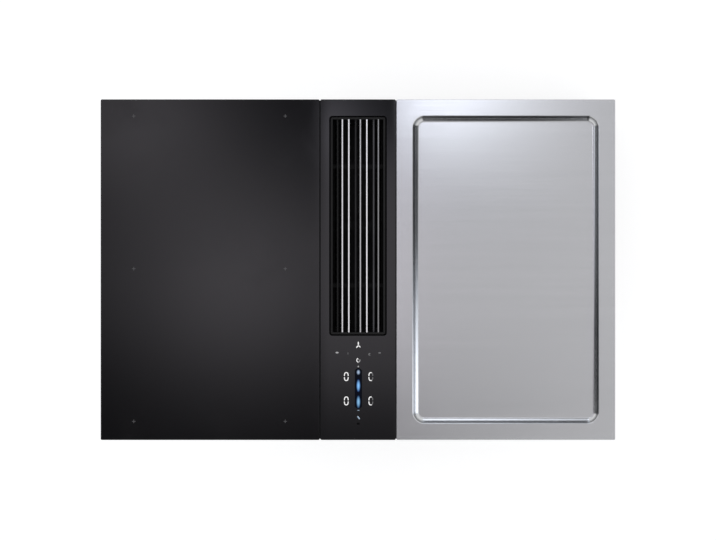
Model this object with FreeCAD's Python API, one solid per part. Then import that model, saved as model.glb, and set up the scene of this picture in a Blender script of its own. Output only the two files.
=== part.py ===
import FreeCAD, Part

import math
import os

from FreeCAD import Vector

# Modular downdraft cooktop for a worktop cut-out, in millimetres.
# An induction plate stands on the left, the extractor with its grille and touch panel in the middle,
# and a pressed steel griddle on the right. The blower hangs under the griddle and blows out at the rear.
# +X is right, +Y is the rear, +Z is up. The origin is the middle of the outline, on the worktop's top face.

# Plates seen from above
plate_depth = 515.0
hob_width = 331.0
extractor_width = 114.0
joint_gap = 1.0
plate_thickness = 6.0
plate_corner = 2.0
plate_bevel = 0.6

# Bedding between the plates and the worktop
seal_height = 2.0
seal_inset = 2.0
seal_width = 9.0
sealant_recess = 0.8
support_rail_width = 12.0
support_rail_height = 10.0
support_rail_sheet = 1.5
support_rail_end_gap = 1.5

# Folded sheet cases under the two cooking plates
case_inset = 20.0
case_depth = 58.0
case_sheet = 1.2
case_flange_clearance = 3.0
case_corner = 4.0
bond_height = 1.0
vent_side_margin = 60.0
vent_width = 4.0
vent_height = 20.0
vent_pitch = 12.0

# Cable entries in the rear walls of the cases
gland_bore = 7.0
gland_body = 10.0
gland_nut = 14.0
gland_nut_height = 8.0
gland_clearance = 0.3
gland_side_margin = 57.5
gland_drop = 30.0
terminal_width = 50.0
terminal_length = 24.0
terminal_height = 20.0
terminal_ways = 5
terminal_screw = 3.0

# Induction coils under the glass
zone_margin = 26.5
coil_spacing = 24.0
coil_turns = 16
coil_turn_gap = 0.8
coil_height = 5.0
coil_eye = 22.0
mica_height = 0.8
former_height = 3.0
former_margin = 2.0
former_hole = 12.0
ferrite_count = 8
ferrite_end_margin = 10.0
ferrite_width = 12.0
ferrite_height = 5.0
ferrite_start = 34.0
sensor_radius = 6.0
coil_plate_sheet = 1.5
coil_plate_gap = 4.0
post_radius = 5.0
post_inset = 12.0

# Power electronics of the induction plate
board_side_margin = 25.5
board_front_margin = 22.5
board_fan_gap = 20.0
board_sheet = 1.6
board_stand = 8.0
component_bay = 130.0
component_clearance = 5.0
sink_width = 140.0
sink_rear_margin = 10.0
sink_base = 6.0
sink_fins = 12
sink_fin = 2.0
capacitor_radius = 15.0
capacitor_pitch = 40.0
choke_radius = 20.0
choke_eye = 8.0
choke_height = 16.0
choke_pitch = 60.0

# Cooling fan of the induction plate
fan_size = 80.0
fan_height = 25.0
fan_bore = 37.5
fan_hub = 16.0
fan_blades = 7
fan_blade_sheet = 1.8
fan_blade_angle = 38.0
fan_tip_gap = 1.0
fan_base = 3.0
fan_strut = 5.0
fan_axle = 1.5
fan_axle_clearance = 0.05
fan_rear_margin = 107.5
guard_sheet = 1.5
guard_rings = 4
guard_ring_width = 2.2

# Intake opening in the extractor plate
opening_margin = 14.25
opening_rear_margin = 25.7
opening_front_margin = 158.3
opening_corner = 4.0
opening_bevel = 0.8
well_clearance = 1.0

# Lift-out grille
grille_clearance = 1.5
grille_wall = 3.0
grille_corner = 3.0
grille_height = 46.5
grille_proud = 0.3
slat_count = 8
slat_thickness = 2.2
slat_low = 21.0
slat_drop = 1.0
low_slat_drop = 6.5
slat_group_share = 0.356
low_step_share = 0.093
tall_step_share = 0.128
slat_edge_height = 1.5
slat_edge_round = 0.7
grille_rib_width = 6.0
grille_rib_height = 4.0
grille_rib_spread = 90.0

# Lift-out grease filter
filter_clearance = 0.5
filter_rim = 1.5
filter_sheet = 1.5
filter_depth = 60.0
filter_rim_width = 6.0
filter_end_rim = 9.0
filter_corner = 5.0
filter_slot_end_margin = 14.0
filter_slot_width = 4.0
filter_slot_height = 38.0
filter_slot_pitch = 13.0
mat_pleats = 13
mat_end_gap = 2.0
mat_pleat_depth = 5.0
mat_sheet = 1.0
mat_height = 44.0
handle_width = 12.0
handle_sheet = 1.5
handle_rise = 17.0
handle_leg = 22.0
handle_bend = 8.0

# Suction box under the extractor plate
box_wall = 2.5
box_flange_height = 3.0
box_corner = 5.0
gasket_height = 1.0
rail_clearance = 1.25
ledge_clearance = 2.5
ledge_height = 6.0

# Drip tray in its runners
tray_height = 38.2
tray_wall = 2.0
tray_lip = 5.9
tray_lip_height = 2.0
tray_side_clearance = 0.35
tray_gap = 0.3
tray_seal_height = 1.5
tray_corner = 6.0
tray_grip = 12.0
runner_sheet = 2.0
runner_lap = 10.0
runner_clearance = 1.0

# Blower
impeller_radius = 85.0
impeller_eye_radius = 56.0
impeller_disc_thickness = 2.5
impeller_tip_inset = 2.5
impeller_blades = 11
impeller_blade_sheet = 2.2
impeller_blade_sweep = 42.0
impeller_floor_gap = 7.5
impeller_lid_gap = 8.0
hub_cup_radius = 39.0
hub_cup_wall = 2.5
hub_cup_height = 35.5
tongue_clearance = 13.0
volute_step = 22.0
tongue_width = 6.0
scroll_wall = 2.5
scroll_height = 78.0
scroll_gap = 10.0
blower_y = 26.0
throat_margin = 4.5
plenum_radius = 104.0
plenum_height = 48.0
plenum_case_gap = 7.0
plenum_wall = 2.5
plenum_flange = 5.0
inlet_lip_width = 8.0
inlet_curve_radius = 17.0
inlet_sheet = 2.0
inlet_running_gap = 1.0
inlet_reach_length = 4.5

# Blower motor
motor_flange_radius = 48.0
motor_flange_height = 3.5
stator_gap = 2.5
stator_roof_gap = 3.0
shaft_radius = 4.0
shaft_clearance = 0.05
bearing_radius = 11.0
bearing_height = 7.0
bearing_shoulder = 2.0

# Flat duct outlet and its backflow flap
duct_width = 222.0
duct_height = 89.0
duct_rear_inset = 15.5
duct_collar = 16.0
duct_spigot = 20.0
duct_wall = 2.5
flap_sheet = 2.0
flap_side_gap = 1.5
flap_pin_radius = 2.0
flap_pin_clearance = 0.06
flap_barrel = 4.0
flap_pin_seat = 1.5

# Touch control under the front of the extractor plate
control_side_gap = 7.0
control_depth = 48.0
control_wall = 2.0
control_post = 8.0
control_board_gap = 1.0
light_guide_width = 5.0
light_guide_end_margin = 30.0
light_guide_height = 3.0
display_width = 9.0
display_length = 14.0
display_spread = 36.0
display_pitch = 37.0
socket_width = 16.0
socket_length = 13.0
socket_wall = 2.0
socket_depth = 14.0
socket_pitch = 26.0
socket_count = 3

# Pressed steel griddle
well_margin = 24.3
well_depth = 11.0
well_corner = 18.0
well_slope = 72.0
well_top_round = 1.5
well_floor_round = 7.5
griddle_base = 4.0
griddle_pan_draft = 2.2

# Heating of the griddle
spreader_height = 5.0
spreader_margin = 14.0
heater_width = 8.0
heater_height = 5.0
heater_runs = 6
heater_side_margin = 18.0
heater_gap_along = 24.0
heater_end_margin = 14.0
heater_lead = 16.0
clamp_bar_width = 16.0
clamp_bar_height = 3.0
clamp_bars = 4
clamp_end_margin = 70.0
probe_radius = 4.0
probe_height = 10.0
probe_clearance = 0.5
wool_side_gap = 6.0
wool_rear_bay = 60.0

# Leaf springs that centre the cases in the cut-out
clip_width = 30.0
clip_sheet = 0.8
clip_reach = 5.5
clip_top = 9.0
clip_flat = 14.0
clip_slope = 12.0
clip_nose = 4.0
clip_tail = 12.0
clip_side_spread = 150.0
clip_rear_margin = 60.0
clip_front_margin = 30.0
screw_radius = 3.5
screw_height = 2.2
screw_socket = 1.5
screw_socket_depth = 1.2

# Heights and places that follow from the sizes above
plate_low = seal_height
plate_top = plate_low + plate_thickness
joint_x = extractor_width / 2 + joint_gap / 2
hob_x = -(extractor_width / 2 + joint_gap + hob_width / 2)
griddle_x = -hob_x
outline_width = extractor_width + 2 * (joint_gap + hob_width)
seal_inner_length = plate_depth - 2 * (seal_inset + seal_width)

case_flange = case_inset - seal_inset - seal_width - case_flange_clearance
case_width = hob_width - 2 * case_inset
case_length = plate_depth - 2 * case_inset
case_top = plate_low - bond_height
case_low = case_top - case_depth
case_floor = case_low + case_sheet

mica_low = plate_low - mica_height
coil_low = mica_low - coil_height
former_low = coil_low - former_height
ferrite_low = former_low - ferrite_height
coil_plate_low = ferrite_low - coil_plate_sheet
zone_length = plate_depth / 2 - zone_margin
coil_radius = (zone_length - coil_spacing) / 2
coil_turn_pitch = (coil_radius - coil_eye) / (coil_turns + 0.5)
coil_strip = coil_turn_pitch - coil_turn_gap
ferrite_length = coil_radius - ferrite_start - ferrite_end_margin

fan_y = case_length / 2 - fan_rear_margin
board_low = case_floor + board_stand
board_top = board_low + board_sheet
board_width = case_width - 2 * board_side_margin
board_front = -case_length / 2 + board_front_margin
board_rear = fan_y - fan_size / 2 - board_fan_gap
board_length = board_rear - board_front
board_y = (board_front + board_rear) / 2
component_top = coil_plate_low - component_clearance
sink_length = board_length - component_bay - sink_rear_margin
sink_y = board_rear - sink_rear_margin - sink_length / 2

opening_width = extractor_width - 2 * opening_margin
opening_length = plate_depth - opening_rear_margin - opening_front_margin
opening_y = (opening_front_margin - opening_rear_margin) / 2
well_width = opening_width + 2 * well_clearance
well_length = opening_length + 2 * well_clearance
box_width = well_width + 2 * box_wall
box_length = well_length + 2 * box_wall
box_top = plate_low - gasket_height
box_flange_reach = joint_x - support_rail_width / 2 - rail_clearance - box_width / 2
grille_low = plate_top - grille_height
ledge_top = grille_low - filter_rim

ledge_reach = well_clearance + filter_clearance + filter_end_rim - ledge_clearance

plenum_top = case_low - plenum_case_gap
lid_top = plenum_top - plenum_height
lid_low = lid_top - scroll_wall
unit_low = lid_top - scroll_height
scroll_floor = unit_low + scroll_wall
box_low = unit_low + tray_height + tray_gap + tray_seal_height

volute_radius = impeller_radius + tongue_clearance
blower_x = box_width / 2 + scroll_gap + scroll_wall + 1.5 * volute_step + volute_radius
outlet_y = blower_y + volute_step / 2
throat_y = outlet_y + volute_radius + scroll_wall + throat_margin
outlet_left = blower_x - volute_step / 2 + volute_radius + tongue_width
outlet_right = blower_x + volute_step / 2 + volute_radius + 3 * volute_step

control_width = extractor_width - 2 * control_side_gap
control_front = -seal_inner_length / 2 + rail_clearance
control_rear = opening_y - box_length / 2 - box_flange_reach - rail_clearance
control_low = plate_low - control_depth
control_y = (control_front + control_rear) / 2
control_length = control_rear - control_front
touch_board_top = plate_low - light_guide_height

well_top_width = hob_width - 2 * well_margin
well_top_length = plate_depth - 2 * well_margin
well_floor = plate_top - well_depth
griddle_low = well_floor - griddle_base


def block(x0, x1, y0, y1, z0, z1):
    """Box between two opposite corners."""
    return Part.makeBox(x1 - x0, y1 - y0, z1 - z0, Vector(x0, y0, z0))


def centred_block(x, y, width, length, z0, z1):
    """Box on a plan centre, between two heights."""
    return block(x - width / 2, x + width / 2, y - length / 2, y + length / 2, z0, z1)


def rod(x, y, radius, z0, z1):
    """Upright cylinder between two heights."""
    return Part.makeCylinder(radius, z1 - z0, Vector(x, y, z0))


def tube(x, y, outer, inner, z0, z1):
    """Upright ring between two heights."""
    return rod(x, y, outer, z0, z1).cut(rod(x, y, inner, z0, z1))


def polar(x, y, radius, degrees, z=0.0):
    """Point at an angle on a circle in plan."""
    angle = math.radians(degrees)
    return Vector(x + radius * math.cos(angle), y + radius * math.sin(angle), z)


def arc(x, y, radius, start, end, z=0.0):
    """Arc edge in plan from one angle to another, in degrees."""
    points = [polar(x, y, radius, a, z) for a in (start, (start + end) / 2, end)]
    return Part.Arc(*points).toShape()


def line(start, end):
    """Straight edge."""
    return Part.LineSegment(start, end).toShape()


def rounded_wire(x, y, width, length, radius, z):
    """Closed rectangle with round corners, in plan."""
    across = width / 2 - radius
    along = length / 2 - radius
    corners = [(across, along, 0), (-across, along, 90), (-across, -along, 180), (across, -along, 270)]
    edges = []
    for index, (dx, dy, start) in enumerate(corners):
        next_dx, next_dy, next_start = corners[(index + 1) % 4]
        edges.append(arc(x + dx, y + dy, radius, start, start + 90, z))
        edges.append(line(polar(x + dx, y + dy, radius, start + 90, z),
                          polar(x + next_dx, y + next_dy, radius, next_start, z)))
    return Part.Wire(edges)


def rounded_block(x, y, width, length, radius, z0, z1):
    """Upright block with round corners in plan."""
    face = Part.Face(rounded_wire(x, y, width, length, radius, z0))
    return face.extrude(Vector(0, 0, z1 - z0))


def polygon_prism(points, direction):
    """Straight extrusion of a closed polygon."""
    return Part.Face(Part.makePolygon(points + points[:1])).extrude(direction)


def edges_at(shape, height):
    """Edges that lie wholly at one height."""
    reach = 1e-4
    return [e for e in shape.Edges
            if abs(e.BoundBox.ZMin - height) < reach and abs(e.BoundBox.ZMax - height) < reach]


def fused(shapes):
    """One solid from touching or overlapping shapes."""
    return shapes[0].multiFuse(shapes[1:]).removeSplitter()


def spread(count, pitch):
    """Evenly pitched places about zero."""
    return [(index - (count - 1) / 2) * pitch for index in range(count)]


# Bedding on the worktop


def worktop_seal():
    """Foam tape round the whole outline, whose underside lies on the worktop."""
    outer_width = outline_width - 2 * seal_inset
    outer_length = plate_depth - 2 * seal_inset
    outer = rounded_block(0, 0, outer_width, outer_length, plate_corner, 0, seal_height)
    inner = centred_block(0, 0, outer_width - 2 * seal_width, seal_inner_length, 0, seal_height)
    return outer.cut(inner)


def joint_sealant():
    """Strips of sealant in the two joints between the plates."""
    return Part.makeCompound([
        centred_block(side * joint_x, 0, joint_gap, plate_depth - 2 * plate_corner,
                      plate_low, plate_top - sealant_recess)
        for side in (-1, 1)])


def support_rails():
    """Channel rails that carry the plates along the two joints."""
    length = seal_inner_length - 2 * support_rail_end_gap
    rails = []
    for side in (-1, 1):
        outer = centred_block(side * joint_x, 0, support_rail_width, length,
                              plate_low - support_rail_height, plate_low)
        hollow = centred_block(side * joint_x, 0, support_rail_width - 2 * support_rail_sheet, length,
                               plate_low - support_rail_height, plate_low - support_rail_sheet)
        rails.append(outer.cut(hollow))
    return Part.makeCompound(rails)


# Sheet cases, shared by the induction plate and the griddle


def bevelled_plate(x, width):
    """Flat plate with a small bevel round its top edge."""
    plate = rounded_block(x, 0, width, plate_depth, plate_corner, plate_low, plate_top)
    return plate.makeChamfer(plate_bevel, edges_at(plate, plate_top))


def bond_ring(x):
    """Bead of adhesive between a plate and the flange of its case."""
    outer = rounded_block(x, 0, case_width + 2 * case_flange, case_length + 2 * case_flange,
                          case_corner + case_flange, case_top, plate_low)
    inner = rounded_block(x, 0, case_width - 2 * case_sheet, case_length - 2 * case_sheet,
                          case_corner - case_sheet, case_top, plate_low)
    return outer.cut(inner)


def sheet_case(x, gland_x):
    """Open tray with a turned-out flange, vents in the front wall and a cable hole at the rear."""
    body = rounded_block(x, 0, case_width, case_length, case_corner, case_low, case_top)
    flange = rounded_block(x, 0, case_width + 2 * case_flange, case_length + 2 * case_flange,
                           case_corner + case_flange, case_top - case_sheet, case_top)
    inside = rounded_block(x, 0, case_width - 2 * case_sheet, case_length - 2 * case_sheet,
                           case_corner - case_sheet, case_floor, case_top)
    middle = (case_floor + case_top) / 2
    vents = [centred_block(x + offset, -case_length / 2, vent_width, 4 * case_sheet,
                           middle - vent_height / 2, middle + vent_height / 2)
             for offset in spread(int((case_width - 2 * vent_side_margin) / vent_pitch), vent_pitch)]
    gland_hole = Part.makeCylinder(gland_body + gland_clearance, 4 * case_sheet,
                                   Vector(gland_x, case_length / 2 - 2 * case_sheet, case_top - gland_drop),
                                   Vector(0, 1, 0))
    return body.fuse(flange).cut([inside, gland_hole] + vents).removeSplitter()


def gland_places():
    """Plan places across of the cable entries of the two cases."""
    offset = case_width / 2 - gland_side_margin
    return hob_x - offset, griddle_x - offset


def cable_gland(gland_x):
    """Screwed cable entry clamped on both faces of the rear wall."""
    wall_out = case_length / 2
    wall_in = wall_out - case_sheet
    height = case_top - gland_drop

    def turned(radius, y0, y1):
        return Part.makeCylinder(radius, y1 - y0, Vector(gland_x, y0, height), Vector(0, 1, 0))

    body = fused([turned(gland_nut, wall_out, wall_out + gland_nut_height),
                  turned(gland_body, wall_in, wall_out),
                  turned(gland_nut, wall_in - gland_nut_height, wall_in)])
    return body.cut(turned(gland_bore, wall_in - gland_nut_height, wall_out + gland_nut_height))


def terminal_block(x):
    """Row of screw terminals on the floor of a case."""
    y = case_length / 2 - case_sheet - gland_nut_height - terminal_length
    body = centred_block(x, y, terminal_width, terminal_length, case_floor, case_floor + terminal_height)
    pitch = terminal_width / terminal_ways
    wells = [rod(x + offset, y, terminal_screw, case_floor + terminal_height / 2, case_floor + terminal_height)
             for offset in spread(terminal_ways, pitch)]
    return body.cut(wells)


# Induction plate


def coil(y):
    """Flat winding: one unbroken strip of half circles whose radius grows by half a pitch each time."""
    half_pitch = coil_turn_pitch / 2
    outer_edge = []
    inner_edge = []
    for half in range(2 * coil_turns):
        centre = hob_x + (half % 2) * half_pitch
        radius = coil_eye + half * half_pitch
        start = 180 * half
        outer_edge.append(arc(centre, y, radius + coil_strip / 2, start, start + 180, coil_low))
        inner_edge.append(arc(centre, y, radius - coil_strip / 2, start, start + 180, coil_low))
    end = hob_x + coil_eye + coil_turns * coil_turn_pitch
    caps = [line(Vector(x - coil_strip / 2, y, coil_low), Vector(x + coil_strip / 2, y, coil_low))
            for x in (hob_x + coil_eye, end)]
    outline = Part.Wire(Part.__sortEdges__(outer_edge + inner_edge + caps))
    return Part.Face(outline).extrude(Vector(0, 0, coil_height))


def coil_places():
    """Plan places along of the two coil centres, front then rear."""
    return spread(2, zone_length)


def coil_formers():
    """Moulded discs that carry the windings."""
    return Part.makeCompound([
        tube(hob_x, y, coil_radius + former_margin, former_hole, former_low, coil_low)
        for y in coil_places()])


def coil_ferrites():
    """Radial ferrite bars under the formers."""
    bars = []
    for y in coil_places():
        bar = block(hob_x + ferrite_start, hob_x + ferrite_start + ferrite_length,
                    y - ferrite_width / 2, y + ferrite_width / 2, ferrite_low, former_low)
        for index in range(ferrite_count):
            bars.append(bar.rotated(Vector(hob_x, y, 0), Vector(0, 0, 1), index * 360 / ferrite_count))
    return Part.makeCompound(bars)


def coil_sensors():
    """Temperature sensors that stand in the eyes of the coils and touch the sheet under the glass."""
    return Part.makeCompound([rod(hob_x, y, sensor_radius, ferrite_low, mica_low) for y in coil_places()])


def mica_sheet():
    """Insulating sheet between the glass and the coils."""
    return centred_block(hob_x, 0, case_width - 2 * (case_sheet + coil_plate_gap),
                         case_length - 2 * (case_sheet + coil_plate_gap), mica_low, plate_low)


def coil_plate():
    """Sheet that carries the coils on its posts."""
    return rounded_block(hob_x, 0, case_width - 2 * (case_sheet + coil_plate_gap),
                         case_length - 2 * (case_sheet + coil_plate_gap), case_corner,
                         coil_plate_low, ferrite_low)


def corner_places(x, y, width, length):
    """Plan centres of four corner fixings."""
    return [(x + sx * width / 2, y + sy * length / 2) for sx in (-1, 1) for sy in (-1, 1)]


def coil_plate_posts():
    """Posts between the floor of the case and the coil plate."""
    reach = 2 * (case_sheet + coil_plate_gap + post_inset)
    return Part.makeCompound([rod(x, y, post_radius, case_floor, coil_plate_low)
                              for x, y in corner_places(hob_x, 0, case_width - reach, case_length - reach)])


def power_board():
    """Printed board of the inverter with its four stand-offs."""
    board = centred_block(hob_x, board_y, board_width, board_length, board_low, board_top)
    feet = [rod(x, y, post_radius, case_floor, board_low)
            for x, y in corner_places(hob_x, board_y, board_width - 2 * post_inset, board_length - 2 * post_inset)]
    return fused([board] + feet)


def heat_sink():
    """Extruded heat sink whose fins run from the fan towards the front vents."""
    base = centred_block(hob_x, sink_y, sink_width, sink_length, board_top, board_top + sink_base)
    pitch = (sink_width - sink_fin) / (sink_fins - 1)
    fins = [centred_block(hob_x + offset, sink_y, sink_fin, sink_length,
                          board_top + sink_base, component_top)
            for offset in spread(sink_fins, pitch)]
    return fused([base] + fins)


def capacitors():
    """Capacitors on the front of the board."""
    y = board_front + 2 * capacitor_radius
    return Part.makeCompound([rod(hob_x + offset, y, capacitor_radius, board_top, component_top)
                              for offset in spread(4, capacitor_pitch)])


def chokes():
    """Ring chokes between the capacitors and the heat sink."""
    y = (board_front + 3 * capacitor_radius + sink_y - sink_length / 2) / 2
    return Part.makeCompound([tube(hob_x + offset, y, choke_radius, choke_eye, board_top, board_top + choke_height)
                              for offset in spread(3, choke_pitch)])


def fan_opening(z0, z1):
    """Round air intake of the cooling fan."""
    return rod(hob_x, fan_y, fan_bore, z0, z1)


def hob_case():
    """Case of the induction plate, with the intake of its cooling fan in the floor."""
    case = sheet_case(hob_x, gland_places()[0])
    return case.cut(fan_opening(case_low, case_floor))


def fan_guard():
    """Finger guard of rings and spokes under the fan intake."""
    z0 = case_low - guard_sheet
    rim = tube(hob_x, fan_y, fan_bore + 2 * guard_ring_width, fan_bore - guard_ring_width, z0, case_low)
    pitch = fan_bore / guard_rings
    rings = [tube(hob_x, fan_y, index * pitch + guard_ring_width / 2, index * pitch - guard_ring_width / 2,
                  z0, case_low) for index in range(1, guard_rings)]
    spokes = [centred_block(hob_x, fan_y, 2 * fan_bore, guard_ring_width, z0, case_low),
              centred_block(hob_x, fan_y, guard_ring_width, 2 * fan_bore, z0, case_low)]
    return fused([rim] + rings + spokes)


def fan_frame():
    """Square fan housing with a spoked base that holds the axle."""
    z0 = case_floor
    frame = rounded_block(hob_x, fan_y, fan_size, fan_size, case_corner, z0, z0 + fan_height)
    frame = frame.cut(fan_opening(z0, z0 + fan_height))
    base = rod(hob_x, fan_y, fan_hub, z0, z0 + fan_base)
    strut = centred_block(hob_x, fan_y, 2 * fan_bore + 1, fan_strut, z0, z0 + fan_base)
    struts = [strut.rotated(Vector(hob_x, fan_y, 0), Vector(0, 0, 1), turn) for turn in (0, 60, 120)]
    axle = rod(hob_x, fan_y, fan_axle, z0 + fan_base, z0 + fan_height - 2 * fan_base)
    return fused([frame, base, axle] + struts)


def fan_rotor():
    """Hub with pitched blades that turns on the axle of the frame."""
    z0 = case_floor + fan_base + fan_tip_gap
    z1 = case_floor + fan_height - fan_tip_gap
    hub = rod(hob_x, fan_y, fan_hub, z0, z1)
    bore = rod(hob_x, fan_y, fan_axle + fan_axle_clearance, z0, case_floor + fan_height - fan_base)
    middle = (z0 + z1) / 2
    chord = (z1 - z0) / math.cos(math.radians(fan_blade_angle))
    vane = block(hob_x, hob_x + fan_bore, fan_y - fan_blade_sheet / 2, fan_y + fan_blade_sheet / 2,
                 middle - chord / 2, middle + chord / 2)
    vane = vane.rotated(Vector(hob_x, fan_y, middle), Vector(1, 0, 0), fan_blade_angle)
    vanes = [vane.rotated(Vector(hob_x, fan_y, 0), Vector(0, 0, 1), index * 360 / fan_blades)
             for index in range(fan_blades)]
    sweep = rod(hob_x, fan_y, fan_bore - fan_tip_gap, z0, z1)
    return fused([hub] + [v.common(sweep) for v in vanes]).cut(bore)


# Extractor


def extractor_panel():
    """Extractor plate with the rounded intake opening."""
    plate = bevelled_plate(0, extractor_width)
    opening = rounded_block(0, opening_y, opening_width, opening_length, opening_corner, plate_low, plate_top)
    plate = plate.cut(opening)
    lip = [e for e in edges_at(plate, plate_top) if opening.isInside(e.CenterOfMass, opening_bevel, True)]
    return plate.makeChamfer(opening_bevel, lip)


def panel_gasket():
    """Gasket between the extractor plate and the flange of the suction box."""
    reach = 2 * box_flange_reach
    outer = rounded_block(0, opening_y, box_width + reach, box_length + reach, box_corner, box_top, plate_low)
    return outer.cut(rounded_block(0, opening_y, well_width, well_length, box_corner, box_top, plate_low))


def plenum_window():
    """Way from the suction box into the plenum of the blower."""
    half = plenum_radius - plenum_wall
    return block(well_width / 2 - box_wall, box_width / 2 + box_wall, blower_y - half, blower_y + half,
                 lid_top, plenum_top - plenum_wall)


def suction_box():
    """Moulded box under the intake, open below, with end ledges for the filter."""
    reach = 2 * box_flange_reach
    flange = rounded_block(0, opening_y, box_width + reach, box_length + reach, box_corner,
                           box_top - box_flange_height, box_top)
    body = rounded_block(0, opening_y, box_width, box_length, box_corner, box_low, box_top)
    well = rounded_block(0, opening_y, well_width, well_length, box_corner - box_wall, box_low, box_top)
    ledge = centred_block(0, opening_y, well_width, well_length, ledge_top - ledge_height, ledge_top)
    ledge = ledge.cut(centred_block(0, opening_y, well_width, well_length - 2 * ledge_reach,
                                    ledge_top - ledge_height, ledge_top)).common(well)
    shell = body.fuse(flange).cut([well, plenum_window()])
    return fused([shell] + ledge.Solids)


def grille_frame():
    """Frame of the lift-out grille, with two ribs that carry the slats."""
    outer_width = opening_width - 2 * grille_clearance
    outer_length = opening_length - 2 * grille_clearance
    inner_width = outer_width - 2 * grille_wall
    top = plate_top + grille_proud
    outer = rounded_block(0, opening_y, outer_width, outer_length, grille_corner, grille_low, top)
    inner = centred_block(0, opening_y, inner_width, outer_length - 2 * grille_wall, grille_low, top)
    rib_top = plate_top - slat_low
    ribs = [centred_block(0, opening_y + offset, inner_width, grille_rib_width,
                          rib_top - grille_rib_height, rib_top)
            for offset in spread(2, 2 * grille_rib_spread)]
    return fused([outer.cut(inner)] + ribs)


def slat_places():
    """Place across the grille of each slat, and whether it is a low one: a low and two tall ones repeat."""
    inner_width = opening_width - 2 * (grille_clearance + grille_wall)
    steps = [0, low_step_share * inner_width, (low_step_share + tall_step_share) * inner_width]
    places = []
    for index in range(slat_count):
        group, member = divmod(index, len(steps))
        places.append((group * slat_group_share * inner_width + steps[member], member == 0))
    middle = (places[0][0] + places[-1][0]) / 2
    return [(x - middle, low) for x, low in places]


def slat_length():
    """Length of a slat between the end walls of the grille."""
    return opening_length - 2 * (grille_clearance + grille_wall)


def grille_slats():
    """Upright slats along the grille; the first of every three stands lower."""
    slats = []
    for x, low in slat_places():
        drop = low_slat_drop if low else slat_drop + slat_edge_height
        slats.append(centred_block(x, opening_y, slat_thickness, slat_length(),
                                   plate_top - slat_low, plate_top - drop))
    return Part.makeCompound(slats)


def slat_edges():
    """Polished steel edges with a rounded crest on the tall slats."""
    top = plate_top - slat_drop
    edges = []
    for x, low in slat_places():
        if not low:
            bar = centred_block(x, opening_y, slat_thickness, slat_length(), top - slat_edge_height, top)
            crest = [e for e in edges_at(bar, top) if e.BoundBox.YLength > slat_thickness]
            edges.append(bar.makeFillet(slat_edge_round, crest))
    return Part.makeCompound(edges)


def filter_trough_size():
    """Outer width and length of the trough of the filter."""
    rim_width = opening_width - 2 * filter_clearance
    rim_length = opening_length - 2 * filter_clearance
    return rim_width - 2 * filter_rim_width, rim_length - 2 * filter_end_rim


def filter_tray():
    """Sheet trough of the grease filter: a rim, a closed floor and slotted long sides."""
    width, length = filter_trough_size()
    low = grille_low - filter_depth
    rim = rounded_block(0, opening_y, opening_width - 2 * filter_clearance, opening_length - 2 * filter_clearance,
                        opening_corner, ledge_top, grille_low)
    body = rounded_block(0, opening_y, width, length, filter_corner, low, grille_low)
    inside = rounded_block(0, opening_y, width - 2 * filter_sheet, length - 2 * filter_sheet,
                           filter_corner - filter_sheet, low + filter_sheet, grille_low)
    slot_low = low + (filter_depth - filter_slot_height) / 2
    slots = [centred_block(0, opening_y + offset, width, filter_slot_width, slot_low, slot_low + filter_slot_height)
             for offset in spread(int((length - 2 * filter_slot_end_margin) / filter_slot_pitch), filter_slot_pitch)]
    return body.fuse(rim).cut([inside] + slots).removeSplitter()


def filter_mats():
    """Pleated mesh mats behind the slots, two along each side of the trough."""
    width, length = filter_trough_size()
    low = grille_low - filter_depth + filter_sheet
    wall = width / 2 - filter_sheet
    half_gap = handle_width
    run = length / 2 - filter_sheet - mat_end_gap - half_gap
    mat_pleat_pitch = run / mat_pleats
    mats = []
    for side in (-1, 1):
        for y0 in (opening_y + half_gap, opening_y - half_gap - run):
            outer = []
            inner = []
            for index in range(2 * mat_pleats + 1):
                depth = mat_pleat_depth * (index % 2)
                y = y0 + index * mat_pleat_pitch / 2
                outer.append(Vector(side * (wall - depth), y, low))
                inner.append(Vector(side * (wall - depth - mat_sheet), y, low))
            mats.append(polygon_prism(outer + inner[::-1], Vector(0, 0, mat_height)))
    return Part.makeCompound(mats)


def filter_handle():
    """Strip handle across the middle of the trough, fixed inside its long walls."""
    wall = filter_trough_size()[0] / 2 - filter_sheet
    crown = grille_low + handle_rise
    foot = grille_low - handle_leg
    y0 = opening_y - handle_width / 2

    def arch(reach, top, bend):
        bend_left = Part.Arc(Vector(-reach, y0, top - bend),
                             Vector(-reach + bend * (1 - math.sqrt(0.5)), y0, top - bend * (1 - math.sqrt(0.5))),
                             Vector(-reach + bend, y0, top)).toShape()
        bend_right = bend_left.mirror(Vector(0, 0, 0), Vector(1, 0, 0))
        return Part.Wire(Part.__sortEdges__([
            line(Vector(-reach, y0, foot), Vector(-reach, y0, top - bend)), bend_left,
            line(Vector(-reach + bend, y0, top), Vector(reach - bend, y0, top)), bend_right,
            line(Vector(reach, y0, top - bend), Vector(reach, y0, foot)),
            line(Vector(reach, y0, foot), Vector(-reach, y0, foot))]))

    outer = Part.Face(arch(wall, crown, handle_bend)).extrude(Vector(0, handle_width, 0))
    inner = Part.Face(arch(wall - handle_sheet, crown - handle_sheet, handle_bend - handle_sheet))
    return outer.cut(inner.extrude(Vector(0, handle_width, 0)))


def tray_seal():
    """Rubber seal under the open foot of the suction box."""
    outer = rounded_block(0, opening_y, box_width, box_length, box_corner, box_low - tray_seal_height, box_low)
    return outer.cut(rounded_block(0, opening_y, well_width, well_length, box_corner - box_wall,
                                   box_low - tray_seal_height, box_low))


def tray_lip_half():
    """Half width of the drip tray over its lips."""
    return box_width / 2 - tray_side_clearance


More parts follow.
